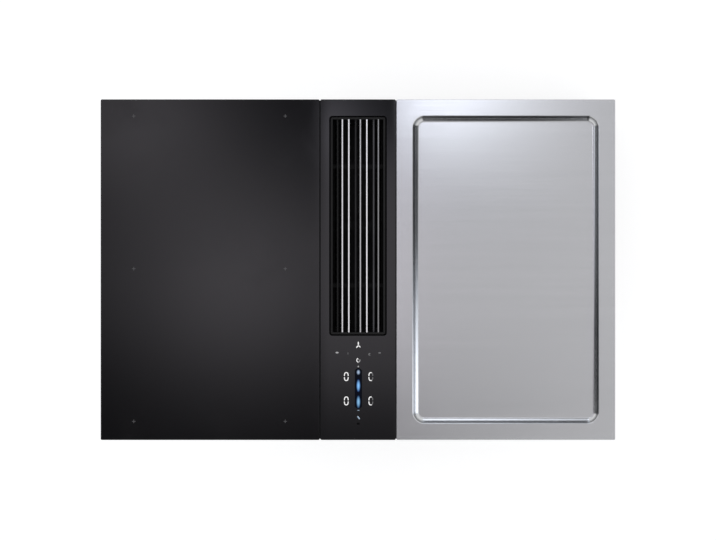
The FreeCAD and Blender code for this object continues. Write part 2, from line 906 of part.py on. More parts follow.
def drip_tray():
    """Drip tray with side lips that ride in the runners and a grip at the front."""
    lip_top = box_low - tray_seal_height - tray_gap
    half = tray_lip_half() - tray_lip
    length = box_length - 2 * tray_wall
    body = rounded_block(0, opening_y, 2 * half, length, tray_corner, unit_low, lip_top)
    inside = rounded_block(0, opening_y, 2 * (half - tray_wall), length - 2 * tray_wall, tray_corner - tray_wall,
                           unit_low + tray_wall, lip_top)
    lips = centred_block(0, opening_y, 2 * tray_lip_half(), length - 2 * tray_corner,
                         lip_top - tray_lip_height, lip_top)
    front = opening_y - length / 2
    grip = block(-half + tray_corner, half - tray_corner, front - tray_grip, front + tray_wall,
                 lip_top - tray_lip_height, lip_top)
    return fused([body, lips, grip]).cut(inside)


def tray_runners():
    """Angle runners on both sides of the suction box that carry the lips of the tray."""
    leg_top = box_low - tray_seal_height - 2 * tray_gap - tray_lip_height
    inner = tray_lip_half() - tray_lip + runner_clearance
    web = box_width / 2
    runners = []
    for side in (-1, 1):
        outline = [(web, box_low + runner_lap), (web + runner_sheet, box_low + runner_lap),
                   (web + runner_sheet, leg_top - runner_sheet), (inner, leg_top - runner_sheet),
                   (inner, leg_top), (web, leg_top)]
        points = [Vector(side * x, opening_y - box_length / 2, z) for x, z in outline]
        runners.append(polygon_prism(points, Vector(0, box_length, 0)))
    return Part.makeCompound(runners)


# Blower


def volute_face(extra, z):
    """Volute of four quarter circles about a small square, closed by the line across its outlet."""
    left = blower_x - volute_step / 2
    right = blower_x + volute_step / 2
    front = blower_y - volute_step / 2
    rear = blower_y + volute_step / 2
    centres = [(left, rear), (left, front), (right, front), (right, rear)]
    edges = [arc(x, y, volute_radius + index * volute_step + extra, 90 * index, 90 * index + 90, z)
             for index, (x, y) in enumerate(centres)]
    start = Vector(left + volute_radius + extra, rear, z)
    end = Vector(right + volute_radius + 3 * volute_step + extra, rear, z)
    return Part.Face(Part.Wire(edges + [line(end, start)]))


def scroll_prism(extra, z0, z1):
    """Volute with its outlet channel, grown by a wall thickness."""
    volute = volute_face(extra, z0).extrude(Vector(0, 0, z1 - z0))
    channel = block(outlet_left - extra, outlet_right + extra, outlet_y, throat_y, z0, z1)
    return volute.fuse(channel)


def scroll_case():
    """Snail housing of the blower, open at the top and at its outlet."""
    outer = scroll_prism(scroll_wall, unit_low, lid_low)
    tongue = rod(outlet_left - tongue_width / 2, outlet_y, tongue_width / 2, scroll_floor, lid_low)
    return fused([outer.cut(scroll_prism(0, scroll_floor, lid_low)), tongue])


def plenum_prism(inset, z0, z1):
    """Plan of the plenum: a straight run from the suction box with a half-round end."""
    half = plenum_radius - inset
    run = block(box_width / 2, blower_x, blower_y - half, blower_y + half, z0, z1)
    return run.fuse(rod(blower_x, blower_y, half, z0, z1))


def scroll_lid():
    """Flat lid over the snail housing, which is also the floor of the plenum."""
    lid = fused([scroll_prism(scroll_wall, lid_low, lid_top), plenum_prism(0, lid_low, lid_top)])
    return lid.cut(rod(blower_x, blower_y, inlet_hole_radius(), lid_low, lid_top))


def inlet_throat():
    """Inner radius of the inlet ring at its lower end."""
    return impeller_eye_radius - inlet_running_gap - inlet_sheet


def inlet_hole_radius():
    """Radius of the hole in the lid, which clears the curve of the inlet ring."""
    return inlet_throat() + inlet_curve_radius


def inlet_ring():
    """Bell-mouthed ring that leads the air into the eye of the impeller."""
    centre = inlet_hole_radius()
    lip_top = lid_top + inlet_sheet
    curve_z = lip_top - inlet_curve_radius

    def bend(radius):
        points = [Vector(centre - radius * math.sin(a), 0, curve_z + radius * math.cos(a))
                  for a in (0, math.pi / 4, math.pi / 2)]
        return Part.Arc(*points).toShape()

    foot = curve_z - inlet_reach_length
    outer_radius = centre - inlet_curve_radius + inlet_sheet
    edges = [bend(inlet_curve_radius), bend(inlet_curve_radius - inlet_sheet),
             line(Vector(centre, 0, lip_top), Vector(centre + inlet_lip_width, 0, lip_top)),
             line(Vector(centre + inlet_lip_width, 0, lip_top), Vector(centre + inlet_lip_width, 0, lid_top)),
             line(Vector(centre + inlet_lip_width, 0, lid_top), Vector(centre, 0, lid_top)),
             line(Vector(inlet_throat(), 0, curve_z), Vector(inlet_throat(), 0, foot)),
             line(Vector(inlet_throat(), 0, foot), Vector(outer_radius, 0, foot)),
             line(Vector(outer_radius, 0, foot), Vector(outer_radius, 0, curve_z))]
    face = Part.Face(Part.Wire(Part.__sortEdges__(edges)))
    ring = face.revolve(Vector(0, 0, 0), Vector(0, 0, 1), 360)
    return ring.translated(Vector(blower_x, blower_y, 0))


def intake_plenum():
    """Flat hood over the inlet, open towards the suction box, with a flange against its wall."""
    shell = plenum_prism(0, lid_top, plenum_top).cut(plenum_prism(plenum_wall, lid_top, plenum_top - plenum_wall))
    half = plenum_radius
    flange = block(box_width / 2, box_width / 2 + plenum_wall, blower_y - half - plenum_flange,
                   blower_y + half + plenum_flange, lid_top, plenum_top + plenum_flange)
    flange = flange.cut(plenum_window())
    return fused([shell, flange])


def impeller_heights():
    """Underside of the hub disc, underside of the shroud and top of the hub cup."""
    disc = scroll_floor + impeller_floor_gap
    return disc, lid_low - impeller_lid_gap - impeller_disc_thickness, disc + hub_cup_height


def impeller():
    """Backward-curved wheel: hub disc with a motor cup, shroud ring and blades between them."""
    disc, shroud, cup = impeller_heights()
    hub = rod(blower_x, blower_y, impeller_radius, disc, disc + impeller_disc_thickness)
    dome = rod(blower_x, blower_y, hub_cup_radius, disc, cup)
    hollow = rod(blower_x, blower_y, hub_cup_radius - hub_cup_wall, disc, cup - hub_cup_wall)
    ring = tube(blower_x, blower_y, impeller_radius, impeller_eye_radius, shroud, shroud + impeller_disc_thickness)
    start = polar(blower_x, blower_y, impeller_eye_radius + impeller_tip_inset, 0, disc)
    middle = polar(blower_x, blower_y, (impeller_eye_radius + impeller_radius) / 2, -impeller_blade_sweep * 0.38, disc)
    end = polar(blower_x, blower_y, impeller_radius - impeller_tip_inset, -impeller_blade_sweep, disc)
    curve = Part.Arc(start, middle, end).toShape().Curve
    centre = curve.Center
    thick = impeller_blade_sheet / 2

    def edge(offset):
        points = [centre + (p - centre) * ((curve.Radius + offset) / curve.Radius) for p in (start, middle, end)]
        return points, Part.Arc(*points).toShape()

    outer_points, outer_edge = edge(thick)
    inner_points, inner_edge = edge(-thick)
    outline = Part.Wire(Part.__sortEdges__([outer_edge, line(outer_points[2], inner_points[2]),
                                            inner_edge, line(inner_points[0], outer_points[0])]))
    blade = Part.Face(outline).extrude(Vector(0, 0, shroud + impeller_disc_thickness - disc))
    blades = [blade.rotated(Vector(blower_x, blower_y, 0), Vector(0, 0, 1), index * 360 / impeller_blades)
              for index in range(impeller_blades)]
    return fused([hub, dome, ring] + blades).cut(hollow)


def impeller_shaft():
    """Shaft fixed under the roof of the hub cup, which turns in the motor bearings."""
    top = impeller_heights()[2] - hub_cup_wall
    return rod(blower_x, blower_y, shaft_radius, scroll_floor + bearing_shoulder, top)


def stator_low():
    """Top of the motor flange, on which the stator stands."""
    return scroll_floor + motor_flange_height


def stator_top():
    """Top of the stator, clear of the roof of the hub cup."""
    return impeller_heights()[2] - hub_cup_wall - stator_roof_gap


def fan_motor():
    """Motor flange and stator, bored for the shaft and the two bearings."""
    low = stator_low()
    top = stator_top()
    body = fused([rod(blower_x, blower_y, motor_flange_radius, scroll_floor, low),
                  rod(blower_x, blower_y, hub_cup_radius - hub_cup_wall - stator_gap, low, top)])
    seat = bearing_radius + shaft_clearance
    shoulder = bearing_radius - bearing_shoulder
    return body.cut([rod(blower_x, blower_y, shoulder, scroll_floor, top),
                     rod(blower_x, blower_y, seat, low, low + bearing_height),
                     rod(blower_x, blower_y, seat, top - bearing_height, top)])


def motor_bearings():
    """Two bearings in the bore of the stator."""
    places = [stator_low(), stator_top() - bearing_height]
    return Part.makeCompound([tube(blower_x, blower_y, bearing_radius, shaft_radius + shaft_clearance,
                                   z, z + bearing_height) for z in places])


def duct_box(extra, y, left, right, low, top):
    """Upright rectangle across the duct, grown outwards by a wall."""
    corners = [(left - extra, low - extra), (right + extra, low - extra),
               (right + extra, top + extra), (left - extra, top + extra)]
    points = [Vector(x, y, z) for x, z in corners]
    return Part.makePolygon(points + points[:1])


def duct_outlet():
    """Outlet piece: a collar on the blower, a flare and the spigot of the flat duct."""
    rear = plate_depth / 2 - duct_rear_inset
    collar = (outlet_left, outlet_right, scroll_floor, lid_low)
    spigot_right = outlet_right
    spigot = (spigot_right - duct_width + 2 * duct_wall, spigot_right,
              scroll_floor, scroll_floor + duct_height - 2 * duct_wall)
    places = [throat_y, throat_y + duct_collar, rear - duct_spigot, rear]
    sections = [collar, collar, spigot, spigot]

    def solid(extra):
        runs = []
        for index in range(3):
            wires = [duct_box(extra, places[i], *sections[i]) for i in (index, index + 1)]
            runs.append(Part.makeLoft(wires, True, True))
        return fused(runs)

    seats = flap_pin_rod(flap_pin_radius + flap_pin_clearance)
    return solid(duct_wall).cut([solid(0), seats])


def flap_axis():
    """Plan place and height of the pin of the backflow flap."""
    return throat_y + duct_collar / 2, lid_low - flap_barrel - 1


def flap_pin_rod(radius):
    """Rod across the collar whose ends seat in its side walls."""
    y, z = flap_axis()
    return Part.makeCylinder(radius, outlet_right - outlet_left + 2 * flap_pin_seat,
                             Vector(outlet_left - flap_pin_seat, y, z), Vector(1, 0, 0))


def backflow_flap():
    """Flap that hangs shut across the collar and swings up in the air stream."""
    y, z = flap_axis()
    left = outlet_left + flap_side_gap
    right = outlet_right - flap_side_gap
    barrel = Part.makeCylinder(flap_barrel, right - left, Vector(left, y, z), Vector(1, 0, 0))
    leaf = block(left, right, y - flap_sheet / 2, y + flap_sheet / 2, scroll_floor + flap_side_gap, z)
    return fused([barrel, leaf]).cut(flap_pin_rod(flap_pin_radius + flap_pin_clearance))


# Touch control


def control_case():
    """Open-topped tub under the front of the extractor plate, with posts for the touch board."""
    outer = rounded_block(0, control_y, control_width, control_length, case_corner, control_low, plate_low)
    inside = rounded_block(0, control_y, control_width - 2 * control_wall, control_length - 2 * control_wall,
                           case_corner - control_wall, control_low + control_wall, plate_low)
    post_top = touch_board_top - board_sheet
    posts = [centred_block(px, py, control_post, control_post, control_low, post_top)
             for px, py in corner_places(0, control_y, control_width - control_wall - control_post,
                                         control_length - control_wall - control_post)]
    posts = [post.common(outer) for post in posts]
    return fused([outer.cut(inside)] + posts)


def control_sockets():
    """Cable sockets under the floor of the control tub, with empty mouths that open downwards."""
    low = control_low - socket_depth
    sockets = []
    for x in spread(socket_count, socket_pitch):
        body = centred_block(x, control_y, socket_width, socket_length, low, control_low)
        mouth = centred_block(x, control_y, socket_width - 2 * socket_wall, socket_length - 2 * socket_wall,
                              low, control_low - socket_wall)
        sockets.append(body.cut(mouth))
    return Part.makeCompound(sockets)


def touch_board():
    """Printed board of the touch keys on the posts of the tub."""
    inset = 2 * (control_wall + control_board_gap)
    return centred_block(0, control_y, control_width - inset, control_length - inset,
                         touch_board_top - board_sheet, touch_board_top)


def light_guide():
    """Light guide of the touch slider, between the board and the plate."""
    return rounded_block(0, control_y, light_guide_width, control_length - 2 * light_guide_end_margin,
                         light_guide_width * 0.4, touch_board_top, plate_low)


def zone_displays():
    """Number displays on both sides of the slider."""
    return Part.makeCompound([
        centred_block(x, control_y + y, display_width, display_length, touch_board_top, plate_low)
        for x in spread(2, display_spread) for y in spread(2, display_pitch)])


# Griddle


def well_profile():
    """Section of the pressed wall from the rim inwards, as inward distance and height, and its total run."""
    slope = math.radians(well_slope)
    rounds = well_top_round + well_floor_round
    straight = (well_depth - rounds * (1 - math.cos(slope))) / math.sin(slope)
    run = rounds * math.sin(slope) + straight * math.cos(slope)

    def top_round(angle):
        return (well_top_round * math.sin(angle), plate_top - well_top_round * (1 - math.cos(angle)))

    def floor_round(angle):
        return (run - well_floor_round * math.sin(angle), well_floor + well_floor_round * (1 - math.cos(angle)))

    return top_round, floor_round, slope, run


def griddle_plate():
    """Pressed steel plate: flat rim, sloping wall with rounded edges and a sunk cooking floor."""
    top_round, floor_round, slope, run = well_profile()
    left = griddle_x - well_top_width / 2

    def point(place):
        return Vector(left + place[0], 0, place[1])

    upper = Part.Arc(*[point(top_round(a)) for a in (0, slope / 2, slope)]).toShape()
    lower = Part.Arc(*[point(floor_round(a)) for a in (slope, slope / 2, 0)]).toShape()
    outline = [point((run, well_floor)), point((run, griddle_low)), point((griddle_pan_draft, griddle_low)),
               point((0, plate_low)), point((0, plate_top))]
    edges = [upper, line(point(top_round(slope)), point(floor_round(slope))), lower]
    edges += [line(a, b) for a, b in zip(outline, outline[1:])]
    section = Part.Face(Part.Wire(Part.__sortEdges__(edges)))

    across = well_top_width / 2 - well_corner
    along = well_top_length / 2 - well_corner
    side = section.translated(Vector(0, -along, 0)).extrude(Vector(0, 2 * along, 0))
    corner_axis = Vector(griddle_x - across, -along, 0)
    corner = section.translated(Vector(0, -along, 0)).revolve(corner_axis, Vector(0, 0, 1), 90)
    end_section = section.translated(Vector(0, -along, 0)).rotated(corner_axis, Vector(0, 0, 1), 90)
    end = end_section.extrude(Vector(2 * across, 0, 0))
    middle = Vector(griddle_x, 0, 0)
    half = [side, corner, end, corner.mirror(middle, Vector(1, 0, 0))]
    turned = [shape.rotated(middle, Vector(0, 0, 1), 180) for shape in half]

    rim = bevelled_plate(griddle_x, hob_width)
    rim = rim.cut(rounded_block(griddle_x, 0, well_top_width, well_top_length, well_corner, plate_low, plate_top))
    floor = rounded_block(griddle_x, 0, well_top_width - 2 * run, well_top_length - 2 * run, well_corner - run,
                          griddle_low, well_floor)
    return fused([rim, floor] + half + turned)


def spreader_size():
    """Width and length of the heat spreader."""
    run = well_profile()[3]
    return (well_top_width - 2 * (run + spreader_margin), well_top_length - 2 * (run + spreader_margin))


def heater_run_pitch():
    """Distance between the straight runs of an element."""
    return (spreader_size()[0] - 2 * heater_side_margin) / (heater_runs - 1)


def heat_spreader():
    """Aluminium plate pressed against the underside of the cooking floor."""
    width, length = spreader_size()
    return rounded_block(griddle_x, 0, width, length, case_corner, griddle_low - spreader_height, griddle_low)


def heater(side):
    """Flat-pressed tubular element of one cooking zone: straight runs joined by half-circle bends."""
    top = griddle_low - spreader_height
    low = top - heater_height
    length = spreader_size()[1]
    near = heater_gap_along / 2
    far = length / 2 - heater_end_margin
    bend = heater_run_pitch() / 2
    places = spread(heater_runs, heater_run_pitch())
    solids = []
    for index, x in enumerate(places):
        ends = [near + bend + heater_width / 2, far - bend - heater_width / 2]
        if index == 0:
            ends[0] = near + heater_width / 2 - heater_lead / 2
        if index == heater_runs - 1:
            ends[(index + 1) % 2] += heater_lead * (1 if index % 2 == 0 else -1)
        solids.append(block(griddle_x + x - heater_width / 2, griddle_x + x + heater_width / 2,
                            ends[0], ends[1], low, top))
        if index < heater_runs - 1:
            outwards = index % 2 == 0
            y = far - bend - heater_width / 2 if outwards else near + bend + heater_width / 2
            ring = tube(griddle_x + x + bend, y, bend + heater_width / 2, bend - heater_width / 2, low, top)
            reach = bend + heater_width
            half = block(griddle_x + x - heater_width, griddle_x + x + 2 * bend + heater_width,
                         y if outwards else y - reach, y + reach if outwards else y, low, top)
            solids.append(ring.common(half))
    element = fused(solids)
    if side < 0:
        element = element.rotated(Vector(griddle_x, 0, 0), Vector(0, 0, 1), 180)
    return element


def heater_low():
    """Underside of the heating elements."""
    return griddle_low - spreader_height - heater_height


def clamp_bar_pitch():
    """Distance between the clamp bars."""
    return (spreader_size()[1] - 2 * clamp_end_margin) / (clamp_bars - 1)


def clamp_bars_group():
    """Bars across the elements that press them against the spreader."""
    width = spreader_size()[0]
    return Part.makeCompound([
        centred_block(griddle_x, y, width, clamp_bar_width, heater_low() - clamp_bar_height, heater_low())
        for y in spread(clamp_bars, clamp_bar_pitch())])


def probe_places():
    """Plan places along of the two temperature probes, each midway between two clamp bars."""
    return spread(2, 2 * clamp_bar_pitch())


def griddle_probes():
    """Temperature probes between the runs of the elements, against the spreader."""
    top = griddle_low - spreader_height
    return Part.makeCompound([rod(griddle_x, y, probe_radius, top - probe_height, top) for y in probe_places()])


def insulation_mat():
    """Mineral wool block between the clamp bars and the floor of the case."""
    top = heater_low() - clamp_bar_height
    half_width = case_width / 2 - case_sheet - wool_side_gap
    half_length = case_length / 2 - case_sheet - wool_side_gap
    mat = block(griddle_x - half_width, griddle_x + half_width, -half_length, half_length - wool_rear_bay,
                case_floor, top)
    pockets = [rod(griddle_x, y, probe_radius + probe_clearance,
                   griddle_low - spreader_height - probe_height - probe_clearance, top) for y in probe_places()]
    return mat.cut(pockets)


# Fastenings


def clip_solid():
    """Leaf spring against a wall in the XZ plane: flat foot, sloping nose and turned-in tail."""
    top = case_top - clip_top
    inner = [(0, top), (0, top - clip_flat), (clip_reach, top - clip_flat - clip_slope),
             (clip_reach, top - clip_flat - clip_slope - clip_nose),
             (clip_reach / 2, top - clip_flat - clip_slope - clip_nose - clip_tail)]
    outer = [(n + clip_sheet, z) for n, z in inner]
    points = [Vector(n, -clip_width / 2, z) for n, z in inner + outer[::-1]]
    return polygon_prism(points, Vector(0, clip_width, 0))


def clip_screw_solid():
    """Round-headed screw with a hexagon socket on the foot of a clip."""
    z = case_top - clip_top - clip_flat / 2
    head = Part.makeCylinder(screw_radius, screw_height, Vector(clip_sheet, 0, z), Vector(1, 0, 0))
    rim = [e for e in head.Edges if abs(e.BoundBox.XMin - clip_sheet - screw_height) < 1e-4]
    head = head.makeFillet(screw_height / 2, rim)
    corners = [Vector(clip_sheet + screw_height - screw_socket_depth,
                      screw_socket * math.cos(math.radians(a)), z + screw_socket * math.sin(math.radians(a)))
               for a in range(0, 360, 60)]
    return head.cut(polygon_prism(corners, Vector(screw_socket_depth, 0, 0)))


def on_case_walls(shape):
    """Copies of a wall fitting on the outer, front and rear walls of both cases."""
    copies = []
    for x, outwards in ((hob_x, 180), (griddle_x, 0)):
        side = 1 if outwards == 0 else -1
        for y in spread(2, clip_side_spread):
            turned = shape.rotated(Vector(0, 0, 0), Vector(0, 0, 1), outwards)
            copies.append(turned.translated(Vector(x + side * case_width / 2, y, 0)))
        places = ((case_width / 2 - clip_rear_margin, 1), (side * (case_width / 2 - clip_front_margin), -1))
        for offset, end in places:
            turned = shape.rotated(Vector(0, 0, 0), Vector(0, 0, 1), end * 90)
            copies.append(turned.translated(Vector(x + offset, end * case_length / 2, 0)))
    return Part.makeCompound(copies)


def pieces():
    """Every piece of the cooktop by its node name."""
    return {
        "worktop_seal": worktop_seal(),
        "joint_sealant": joint_sealant(),
        "support_rails": support_rails(),
        "hob_glass": bevelled_plate(hob_x, hob_width),
        "hob_case": hob_case(),
        "mica_sheet": mica_sheet(),
        "coils": Part.makeCompound([coil(y) for y in coil_places()]),
        "coil_formers": coil_formers(),
        "coil_ferrites": coil_ferrites(),
        "coil_sensors": coil_sensors(),
        "coil_plate": coil_plate(),
        "coil_plate_posts": coil_plate_posts(),
        "power_board": power_board(),
        "heat_sink": heat_sink(),
        "capacitors": capacitors(),
        "chokes": chokes(),
        "cooling_fan_frame": fan_frame(),
        "cooling_fan_rotor": fan_rotor(),
        "cooling_fan_guard": fan_guard(),
        "extractor_panel": extractor_panel(),
        "panel_gasket": panel_gasket(),
        "suction_box": suction_box(),
        "grille_frame": grille_frame(),
        "grille_slats": grille_slats(),
        "slat_edges": slat_edges(),
        "filter_tray": filter_tray(),
        "filter_mats": filter_mats(),
        "filter_handle": filter_handle(),
        "tray_seal": tray_seal(),
        "drip_tray": drip_tray(),
        "tray_runners": tray_runners(),
        "scroll_case": scroll_case(),
        "scroll_lid": scroll_lid(),
        "inlet_ring": inlet_ring(),
        "intake_plenum": intake_plenum(),
        "impeller": impeller(),
        "impeller_shaft": impeller_shaft(),
        "fan_motor": fan_motor(),
        "motor_bearings": motor_bearings(),
        "duct_outlet": duct_outlet(),
        "backflow_flap": backflow_flap(),
        "flap_pin": flap_pin_rod(flap_pin_radius),
        "control_case": control_case(),
        "control_sockets": control_sockets(),
        "touch_board": touch_board(),
        "light_guide": light_guide(),
        "zone_displays": zone_displays(),
        "griddle_plate": griddle_plate(),
        "griddle_case": sheet_case(griddle_x, gland_places()[1]),
        "heat_spreader": heat_spreader(),
        "heaters": Part.makeCompound([heater(-1), heater(1)]),
        "heater_clamps": clamp_bars_group(),
        "griddle_probes": griddle_probes(),
        "insulation_mat": insulation_mat(),
        "plate_bonds": Part.makeCompound([bond_ring(x) for x in (hob_x, griddle_x)]),
        "cable_glands": Part.makeCompound([cable_gland(x) for x in gland_places()]),
        "terminal_blocks": Part.makeCompound([terminal_block(x) for x in gland_places()]),
        "worktop_clips": on_case_walls(clip_solid()),
        "clip_screws": on_case_walls(clip_screw_solid()),
    }


def main():
    os.makedirs("parts", exist_ok=True)
    for name, shape in pieces().items():
        for solid in shape.Solids:
            if not solid.isValid():
                print("not valid:", name)
        shape.exportStep(os.path.join("parts", name + ".step"))
        print(f"{name}: {len(shape.Solids)} solids, {sum(s.Volume for s in shape.Solids) / 1000:.2f} cm3")


if __name__ == "__main__":
    main()
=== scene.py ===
import math
import bpy
import numpy as np
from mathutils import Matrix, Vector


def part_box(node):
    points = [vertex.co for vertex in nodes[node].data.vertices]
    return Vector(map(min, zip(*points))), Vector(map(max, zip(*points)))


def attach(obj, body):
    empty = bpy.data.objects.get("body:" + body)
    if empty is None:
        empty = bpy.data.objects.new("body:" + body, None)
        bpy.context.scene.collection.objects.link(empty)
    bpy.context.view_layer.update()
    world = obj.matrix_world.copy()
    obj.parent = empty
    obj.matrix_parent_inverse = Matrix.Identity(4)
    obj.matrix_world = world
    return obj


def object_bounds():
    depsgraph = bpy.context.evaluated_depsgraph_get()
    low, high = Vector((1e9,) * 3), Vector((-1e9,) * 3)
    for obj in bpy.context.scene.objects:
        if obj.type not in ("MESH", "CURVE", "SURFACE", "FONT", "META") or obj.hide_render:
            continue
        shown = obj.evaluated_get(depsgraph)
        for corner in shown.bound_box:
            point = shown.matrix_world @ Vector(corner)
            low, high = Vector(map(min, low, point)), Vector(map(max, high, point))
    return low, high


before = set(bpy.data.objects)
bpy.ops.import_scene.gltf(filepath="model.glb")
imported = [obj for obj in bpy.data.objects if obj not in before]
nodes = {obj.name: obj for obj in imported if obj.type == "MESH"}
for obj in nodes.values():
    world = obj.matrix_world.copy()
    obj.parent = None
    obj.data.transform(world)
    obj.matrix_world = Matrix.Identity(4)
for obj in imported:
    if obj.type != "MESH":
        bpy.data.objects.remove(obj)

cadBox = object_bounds()
scene = bpy.context.scene
mm = 0.001  # the pieces' lengths are written in millimetres, and times mm they are metres
print("frame loaded:", len(nodes), "nodes")

# places read from the solids
glassLow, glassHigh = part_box("hob_glass")
panelLow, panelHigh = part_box("extractor_panel")
griddleLow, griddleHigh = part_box("griddle_plate")
plateTop = panelHigh[2]


# node helpers; a socket's id_data is the tree that it lies in

def addNode(tree, kind, values=None, **settings):
    node = tree.nodes.new("ShaderNode" + kind)
    for key, value in settings.items():
        setattr(node, key, value)
    for key, value in (values or {}).items():
        node.inputs[key].default_value = value
    return node


def wire(fromSocket, toSocket):
    toSocket.id_data.links.new(fromSocket, toSocket)


def feed(value, socket):
    # a number or a colour is set on the socket, and another socket is joined to it
    if isinstance(value, (int, float)):
        socket.default_value = value
    elif isinstance(value, (tuple, list)):
        socket.default_value = (*value, 1)
    else:
        wire(value, socket)


def sums(operation, *values, clamp=False):
    tree = next(value.id_data for value in values if not isinstance(value, (int, float)))
    node = addNode(tree, "Math", operation=operation, use_clamp=clamp)
    for socket, value in zip(node.inputs, values):
        feed(value, socket)
    return node.outputs[0]


def vectorSum(operation, first, second):
    node = addNode(first.id_data, "VectorMath", operation=operation)
    wire(first, node.inputs[0])
    wire(second, node.inputs[1])
    return node.outputs[0]


def scaledBy(vector, factor):
    node = addNode(vector.id_data, "VectorMath", {"Scale": factor}, operation="SCALE")
    wire(vector, node.inputs[0])
    return node.outputs[0]


def axisParts(vector):
    node = addNode(vector.id_data, "SeparateXYZ")
    wire(vector, node.inputs[0])
    return node.outputs


def spanMap(value, fromSpan, toSpan):
    limits = zip(("From Min", "From Max", "To Min", "To Max"), (*fromSpan, *toSpan))
    node = addNode(value.id_data, "MapRange", dict(limits))
    wire(value, node.inputs["Value"])
    return node.outputs["Result"]


def blendColours(factor, first, second):
    node = addNode(factor.id_data, "Mix", data_type="RGBA")
    wire(factor, node.inputs["Factor"])
    ends = [socket for socket in node.inputs if socket.type == "RGBA"]
    for socket, value in zip(ends, (first, second)):
        feed(value, socket)
    return next(socket for socket in node.outputs if socket.type == "RGBA")


def pattern(kind, coords, values=None, scale=None):
    # a texture on the given coordinates, with its scale from a socket where one is given
    node = addNode(coords.id_data, "Tex" + kind, values)
    wire(coords, node.inputs["Vector"])
    if scale is not None:
        wire(scale, node.inputs["Scale"])
    return node


# shared effects, each a group that puts out masks and values only

unit = (0.0, 1.0)
noiseSpan = (0.3, 0.7)  # most of a noise lies between these
numberSocket, vectorSocket = "NodeSocketFloat", "NodeSocketVector"


def newGroup(name, inputs, outputs):
    group = bpy.data.node_groups.new(name, "ShaderNodeTree")
    for label, kind in inputs.items():
        group.interface.new_socket(label, in_out="INPUT", socket_type=kind)
    for label in outputs:
        group.interface.new_socket(label, in_out="OUTPUT", socket_type=numberSocket)
    given = group.nodes.new("NodeGroupInput").outputs
    results = group.nodes.new("NodeGroupOutput").inputs
    return group, given, results


grainNoise = dict(Scale=1.0, Detail=3.0, Roughness=0.6)


def makeGrainGroup():
    # drawn lines: two noises stretched hard along one axis, one fine and one broad
    inputs = {"Coords": vectorSocket, "Fine": vectorSocket, "Broad": vectorSocket}
    group, given, results = newGroup("drawnGrain", inputs, ("Height", "Streak"))
    grains = []
    for label in ("Fine", "Broad"):
        stretched = vectorSum("MULTIPLY", given["Coords"], given[label])
        grains.append(pattern("Noise", stretched, grainNoise).outputs["Fac"])
    fine, broad = grains
    streak = sums("MULTIPLY_ADD", fine, 0.5, sums("MULTIPLY", broad, 0.5))
    wire(fine, results["Height"])
    wire(streak, results["Streak"])
    return group


smudge = dict(slow=dict(Detail=4.0, Roughness=0.55, Distortion=0.6), fast=dict(Detail=2.0),
              span=(0.45, 0.7), broken=(0.6, 1.0))


def makeSmudgeGroup():
    # handling marks: a slow noise pushed to a soft mask and broken up by a fast one
    inputs = {"Coords": vectorSocket, "Slow": numberSocket, "Fast": numberSocket}
    group, given, results = newGroup("handlingMarks", inputs, ("Mask",))
    slow = pattern("Noise", given["Coords"], smudge["slow"], given["Slow"])
    fast = pattern("Noise", given["Coords"], smudge["fast"], given["Fast"])
    mask = spanMap(slow.outputs["Fac"], smudge["span"], unit)
    broken = spanMap(fast.outputs["Fac"], noiseSpan, smudge["broken"])
    wire(sums("MULTIPLY", mask, broken, clamp=True), results["Mask"])
    return group


def makeEdgeGroup():
    # near an edge of a box two sides are close, so the middle one of the three distances is small
    inputs = {"Coords": vectorSocket, "Low": vectorSocket, "High": vectorSocket, "Width": numberSocket}
    group, given, results = newGroup("edgeBand", inputs, ("Band",))
    toLow = vectorSum("SUBTRACT", given["Coords"], given["Low"])
    toHigh = vectorSum("SUBTRACT", given["High"], given["Coords"])
    x, y, z = axisParts(vectorSum("MINIMUM", toLow, toHigh))
    least = sums("MINIMUM", x, sums("MINIMUM", y, z))
    most = sums("MAXIMUM", x, sums("MAXIMUM", y, z))
    total = sums("ADD", x, sums("ADD", y, z))
    middle = sums("SUBTRACT", sums("SUBTRACT", total, least), most)
    share = sums("DIVIDE", middle, given["Width"])
    wire(sums("SUBTRACT", 1.0, share, clamp=True), results["Band"])
    return group


skinTone = dict(Detail=5.0, Roughness=0.6)


def makeSkinGroup():
    # moulded skin: fine pimples for the bump and a slow change of tone
    inputs = {"Coords": vectorSocket, "Pimple": numberSocket, "Tone": numberSocket}
    group, given, results = newGroup("mouldedSkin", inputs, ("Height", "Tone"))
    pimples = pattern("Voronoi", given["Coords"], scale=given["Pimple"])
    tone = pattern("Noise", given["Coords"], skinTone, given["Tone"])
    wire(pimples.outputs["Distance"], results["Height"])
    wire(tone.outputs["Fac"], results["Tone"])
    return group


drawnGrain = makeGrainGroup()
handlingMarks = makeSmudgeGroup()
edgeBand = makeEdgeGroup()
mouldedSkin = makeSkinGroup()
print("shared effects ready")


# material helpers

def emptyMaterial(name):
    material = bpy.data.materials.new(name)
    material.use_nodes = True
    material.node_tree.nodes.clear()
    return material, material.node_tree


def showSurface(shader):
    wire(shader.outputs[0], addNode(shader.id_data, "OutputMaterial").inputs["Surface"])


def startMaterial(name, space="Object", **constants):
    # what is the same all over a surface is set on the shader's own sockets
    material, tree = emptyMaterial(name)
    values = {key.replace("_", " "): value for key, value in constants.items()}
    shader = addNode(tree, "BsdfPrincipled", values)
    showSurface(shader)
    return material, shader, addNode(tree, "TexCoord").outputs[space]


def useGroup(group, coords, **values):
    node = addNode(coords.id_data, "Group", values, node_tree=group)
    wire(coords, node.inputs["Coords"])
    return node.outputs


def times(colour, factor):
    return [channel * factor for channel in colour]


def paint(shader, factor, first, second, socket="Base Color"):
    wire(blendColours(factor, first, second), shader.inputs[socket])


def roughen(shader, value, fromSpan, toSpan):
    wire(spanMap(value, fromSpan, toSpan), shader.inputs["Roughness"])


